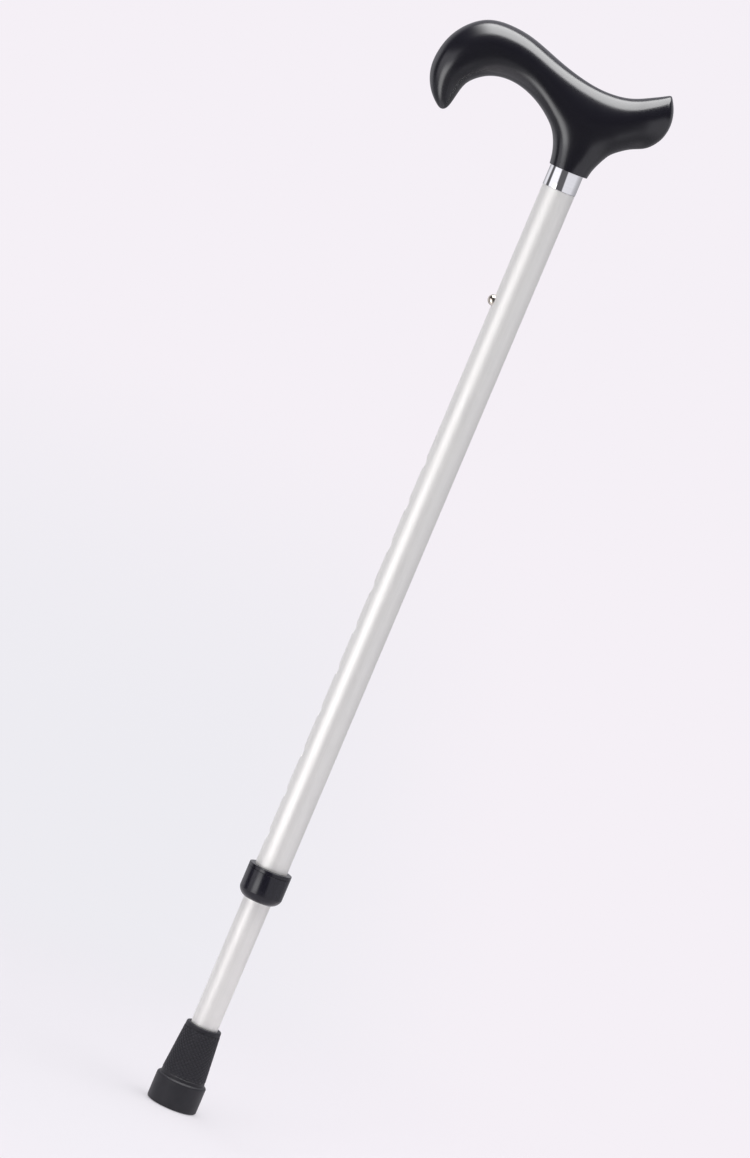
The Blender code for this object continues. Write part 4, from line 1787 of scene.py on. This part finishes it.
@dataclass
class Studio:
    """The camera, floor, lamps and room, set out in the photograph's leaning frame. The floor
    stays under the foot when the lower shaft slides out."""

    foot: bpy.types.Object
    camera_place: tuple[float, float, float] = (-0.0321, -3.45, 0.6978)
    yaw: float = math.radians(0.373)
    pitch: float = math.radians(6.286)
    roll: float = math.radians(-22.951)
    focal_pixels: float = 6254.4
    picture_height: float = 1158
    sensor: float = 36.0
    clip: Point = (0.05, 100.0)
    pale: Colour = (0.913, 0.871, 0.922)
    # painted shade: the darker, cooler glow of the floor in a patch left of and behind the foot
    cool: Colour = (0.846, 0.838, 0.882)
    middle: tuple[float, float, float] = (0.0, 0.0, 0.4)
    floor_size: float = 60.0
    floor_drop: float = 0.2 * MM
    floor_light: float = 0.3
    floor_level: float = 1.76
    floor_tint: Colour = (0.8, 0.79, 0.8)
    reflected: Point = (0.5, 0.22)
    shadowed: Point = (0.5, 0.12)
    # where the painted shade lies: for each axis, the value at which it is none and the value at which it
    # is full
    cool_edges: tuple[tuple[str, float, float], ...] = (
        ("X", 0.2, -0.06),
        ("Y", 4.5, 0.8),
        ("Y", -0.42, -0.12),
        ("X", -3.6, -1.2),
    )
    softboxes: tuple[Softbox, ...] = (
        Softbox("top_softbox", 1.15, 1.6, 0.4, 3.4, 1.85, 8.6, (0.2, 0.12), 0.02, faces_down=True),
        Softbox("left_softbox", -1.18, -0.6, 1.04, 0.92, 1.9, 3.3, (0.3, 0.35), 0.34),
    )
    room: tuple[tuple[float, float], ...] = (
        (-180, 0.36),
        (-150, 0.5),
        (-130, 0.85),
        (-112, 0.9),
        (-104, 0.12),
        (-84, 0.12),
        (-78, 1.12),
        (-32, 1.12),
        (-26, 0.12),
        (10, 0.12),
        (16, 0.84),
        (85, 0.8),
        (110, 0.55),
        (130, 0.45),
        (180, 0.36),
    )
    room_tint: Colour = (1.01, 1.0, 1.06)
    above: float = 0.08
    above_behind: float = 0.62
    below: float = 0.4
    above_from: Point = (0.06, 0.26)
    behind_from: Point = (-0.15, -0.6)
    below_from: Point = (-0.35, -0.7)

    def build(self) -> None:
        """Builds the whole studio."""
        self.add_camera()
        self.add_floor()
        self.add_room()
        for softbox in self.softboxes:
            self.add_softbox(softbox)
        bpy.context.scene.view_settings.view_transform = "Standard"

    def axes(self) -> tuple[Vector, Vector, Vector]:
        """Finds the picture's directions.

        Returns:
            The picture's right, its up and the way to the camera.
        """
        forward = Vector(
            (
                math.sin(self.yaw) * math.cos(self.pitch),
                math.cos(self.yaw) * math.cos(self.pitch),
                -math.sin(self.pitch),
            )
        )
        level = Vector((math.cos(self.yaw), -math.sin(self.yaw), 0))
        down = forward.cross(level)
        right = level * math.cos(self.roll) + down * math.sin(self.roll)
        up = level * math.sin(self.roll) - down * math.cos(self.roll)
        return right, up, -forward

    def add_camera(self) -> None:
        """Adds the camera, where it stood for the photograph."""
        data = bpy.data.cameras.new("camera")
        data.sensor_fit = "VERTICAL"
        data.sensor_height = self.sensor
        data.lens = self.focal_pixels / self.picture_height * self.sensor
        data.clip_start, data.clip_end = self.clip
        camera = bpy.data.objects.new("camera", data)
        turn = Matrix(self.axes()).transposed().to_4x4()
        camera.matrix_world = Matrix.Translation(self.camera_place) @ turn
        bpy.context.scene.collection.objects.link(camera)
        bpy.context.scene.camera = camera

    def add_floor(self) -> None:
        """Adds the pale floor, which takes the foot's shadow. The camera sees all of it, and the
        cane reflects it near the foot."""
        shape = bmesh.new()
        bmesh.ops.create_grid(shape, x_segments=8, y_segments=8, size=self.floor_size / 2)
        bmesh.ops.translate(shape, verts=shape.verts, vec=(0, 0, -self.floor_drop))
        floor = place("studio_floor", shape)
        floor.data.materials.append(self.floor_material())
        floor.parent = self.foot

    def floor_material(self) -> bpy.types.Material:
        """Builds the floor's material: a pale glow of its own, with a painted shade in a patch left of
        and behind the foot, where the glow is darker and cooler. It gives way to lamp light round the
        foot, so that a shadow shows there.

        Returns:
            The material.
        """
        material = bpy.data.materials.new("studio_floor")
        material.use_nodes = True
        tree = material.node_tree
        tree.nodes.clear()
        spot = add_node(tree, "ShaderNodeTexCoord").outputs["Object"]
        way = add_node(tree, "ShaderNodeSeparateXYZ", (0, spot)).outputs
        length = add_node(tree, "ShaderNodeVectorMath", (0, spot), operation="LENGTH")
        distance = length.outputs["Value"]
        rays = add_node(tree, "ShaderNodeLightPath").outputs
        seen = rays["Is Camera Ray"]
        shown = seen
        for name in ("Is Glossy Ray", "Is Transmission Ray"):
            shown = calculate(tree, "MAXIMUM", shown, rays[name])
        near = self.fade(tree, distance, *self.reflected)
        present = calculate(tree, "MAXIMUM", near, seen)

        # painted shade: the floor's glow darkens and cools in the patch that these edges bound
        edges = [self.fade(tree, way[axis], none, full) for axis, none, full in self.cool_edges]
        glow_with_painted_shade = blend(tree, product(tree, edges), (*self.pale, 1), (*self.cool, 1))
        shaded = self.fade(tree, distance, *self.shadowed)
        lit_share = calculate(tree, "MULTIPLY", shaded, self.floor_light)
        replaced = calculate(tree, "MULTIPLY", lit_share, self.floor_level)
        glow_share = calculate(tree, "SUBTRACT", 1.0, replaced)
        glow = add_node(tree, "ShaderNodeEmission", ("Color", glow_with_painted_shade), ("Strength", glow_share))
        lit_colour = blend(tree, lit_share, (0, 0, 0, 1), (*self.pale, 1))
        lit = add_node(tree, "ShaderNodeBsdfDiffuse", ("Color", lit_colour))
        both = add_node(tree, "ShaderNodeAddShader", (0, glow.outputs[0]), (1, lit.outputs[0]))
        plain = add_node(tree, "ShaderNodeBsdfDiffuse", ("Color", (*self.floor_tint, 1)))
        sheet = self.either(tree, shown, plain, both)
        clear = add_node(tree, "ShaderNodeBsdfTransparent")
        ended = self.either(tree, present, clear, sheet)
        add_node(tree, "ShaderNodeOutputMaterial", ("Surface", ended.outputs[0]))
        return material

    @staticmethod
    def either(
        tree: bpy.types.NodeTree,
        share: bpy.types.NodeSocket,
        first: bpy.types.Node,
        second: bpy.types.Node,
    ) -> bpy.types.Node:
        """Adds a node that goes from one shader to another, by the share of the second."""
        inputs = ((0, share), (1, first.outputs[0]), (2, second.outputs[0]))
        return add_node(tree, "ShaderNodeMixShader", *inputs)

    @staticmethod
    def fade(
        tree: bpy.types.NodeTree, value: bpy.types.NodeSocket, none: float, full: float
    ) -> bpy.types.NodeSocket:
        """Adds a node that eases from nothing to one.

        Args:
            tree: The tree.
            value: What it follows.
            none: The value at which it is nothing.
            full: The value at which it is one.

        Returns:
            The eased value's socket.
        """
        low, high = min(none, full), max(none, full)
        node = add_node(
            tree,
            "ShaderNodeMapRange",
            ("Value", value),
            ("From Min", low),
            ("From Max", high),
            ("To Min", float(none > full)),
            ("To Max", float(full > none)),
            interpolation_type="SMOOTHSTEP",
        )
        return node.outputs["Result"]

    def add_room(self) -> None:
        """Adds the room, by its brightness round the cane. The camera sees it as the pale floor."""
        world = bpy.data.worlds.new("studio")
        bpy.context.scene.world = world
        world.use_nodes = True
        tree = world.node_tree
        tree.nodes.clear()
        rays = add_node(tree, "ShaderNodeLightPath")
        way = add_node(tree, "ShaderNodeTexCoord").outputs["Generated"]
        right, _, front = (
            add_node(tree, "ShaderNodeVectorMath", (0, way), (1, axis), operation="DOT_PRODUCT")
            for axis in self.axes()
        )
        azimuth = calculate(tree, "ARCTAN2", right.outputs["Value"], front.outputs["Value"])
        turn = calculate(tree, "MULTIPLY_ADD", azimuth, 1 / math.tau, 0.5)
        ramp = add_node(tree, "ShaderNodeValToRGB", ("Fac", turn))
        elements = ramp.color_ramp.elements
        for degrees, level in self.room[1:-1]:
            elements.new(degrees / 360 + 0.5).color = self.tone(level)
        for element, (_, level) in ((elements[0], self.room[0]), (elements[-1], self.room[-1])):
            element.color = self.tone(level)
        height = add_node(tree, "ShaderNodeSeparateXYZ", (0, way)).outputs["Z"]
        low = self.fade(tree, height, *self.below_from)
        high = self.fade(tree, height, *self.above_from)
        behind = self.fade(tree, front.outputs["Value"], *self.behind_from)
        tone = blend(tree, low, ramp.outputs["Color"], self.tone(self.below))
        top = blend(tree, behind, self.tone(self.above), self.tone(self.above_behind))
        tone = blend(tree, high, tone, top)
        room = add_node(tree, "ShaderNodeBackground", ("Color", tone))
        pale = add_node(tree, "ShaderNodeBackground", ("Color", (*self.pale, 1)))
        seen = self.either(tree, rays.outputs["Is Camera Ray"], room, pale)
        add_node(tree, "ShaderNodeOutputWorld", ("Surface", seen.outputs[0]))

    def tone(self, level: float) -> tuple[float, float, float, float]:
        """Finds the room's colour, with its opacity, at a brightness where 1 is white."""
        red, green, blue = (level * share for share in self.room_tint)
        return red, green, blue, 1.0

    def add_softbox(self, softbox: Softbox) -> None:
        """Adds a lamp.

        Args:
            softbox: The lamp.
        """
        data = bpy.data.lights.new(softbox.name, "AREA")
        data.shape = "RECTANGLE"
        data.size = softbox.width
        data.size_y = softbox.height
        data.energy = softbox.brightness * math.pi * softbox.width * softbox.height
        data.use_nodes = True
        tree = data.node_tree
        tree.nodes.clear()
        face = add_node(tree, "ShaderNodeNewGeometry").outputs["Parametric"]
        split = add_node(tree, "ShaderNodeSeparateXYZ", (0, face))
        windows = []
        for axis, edge in zip(("X", "Y"), softbox.falloff):
            offset = calculate(tree, "SUBTRACT", split.outputs[axis], 0.5)
            windows.append(self.fade(tree, calculate(tree, "ABSOLUTE", offset), 0.5, 0.5 - edge))
        level, least = product(tree, windows), softbox.edge_share
        fall = calculate(tree, "MULTIPLY_ADD", level, 1 - least, least)
        glow = add_node(tree, "ShaderNodeEmission", ("Strength", fall))
        add_node(tree, "ShaderNodeOutputLight", ("Surface", glow.outputs[0]))
        right, up, front = self.axes()
        spot = right * softbox.right + up * softbox.up + front * softbox.front
        away = up if softbox.faces_down else spot.normalized()
        side = (right - away * right.dot(away)).normalized()
        turn = Matrix((side, away.cross(side), away)).transposed().to_4x4()
        lamp = bpy.data.objects.new(softbox.name, data)
        lamp.matrix_world = Matrix.Translation(Vector(self.middle) + spot) @ turn
        bpy.context.scene.collection.objects.link(lamp)


def main() -> None:
    """Loads the frame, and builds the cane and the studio."""
    logging.basicConfig(level=logging.INFO, format="%(message)s")
    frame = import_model()
    wardrobe = Wardrobe(Groups())
    DerbyHandle(wardrobe).build()
    NeckJoint(wardrobe).build()
    SlidingTubes(wardrobe).build()
    HeightLock(wardrobe, frame["nodes"]["button_spring"]).build()
    CollarClamp(wardrobe).build()
    RubberTip(wardrobe).build()
    HiddenParts(wardrobe).build(frame["nodes"])
    Studio(frame["bodies"][Body.LOWER.value]).build()


if __name__ == "__main__":
    main()
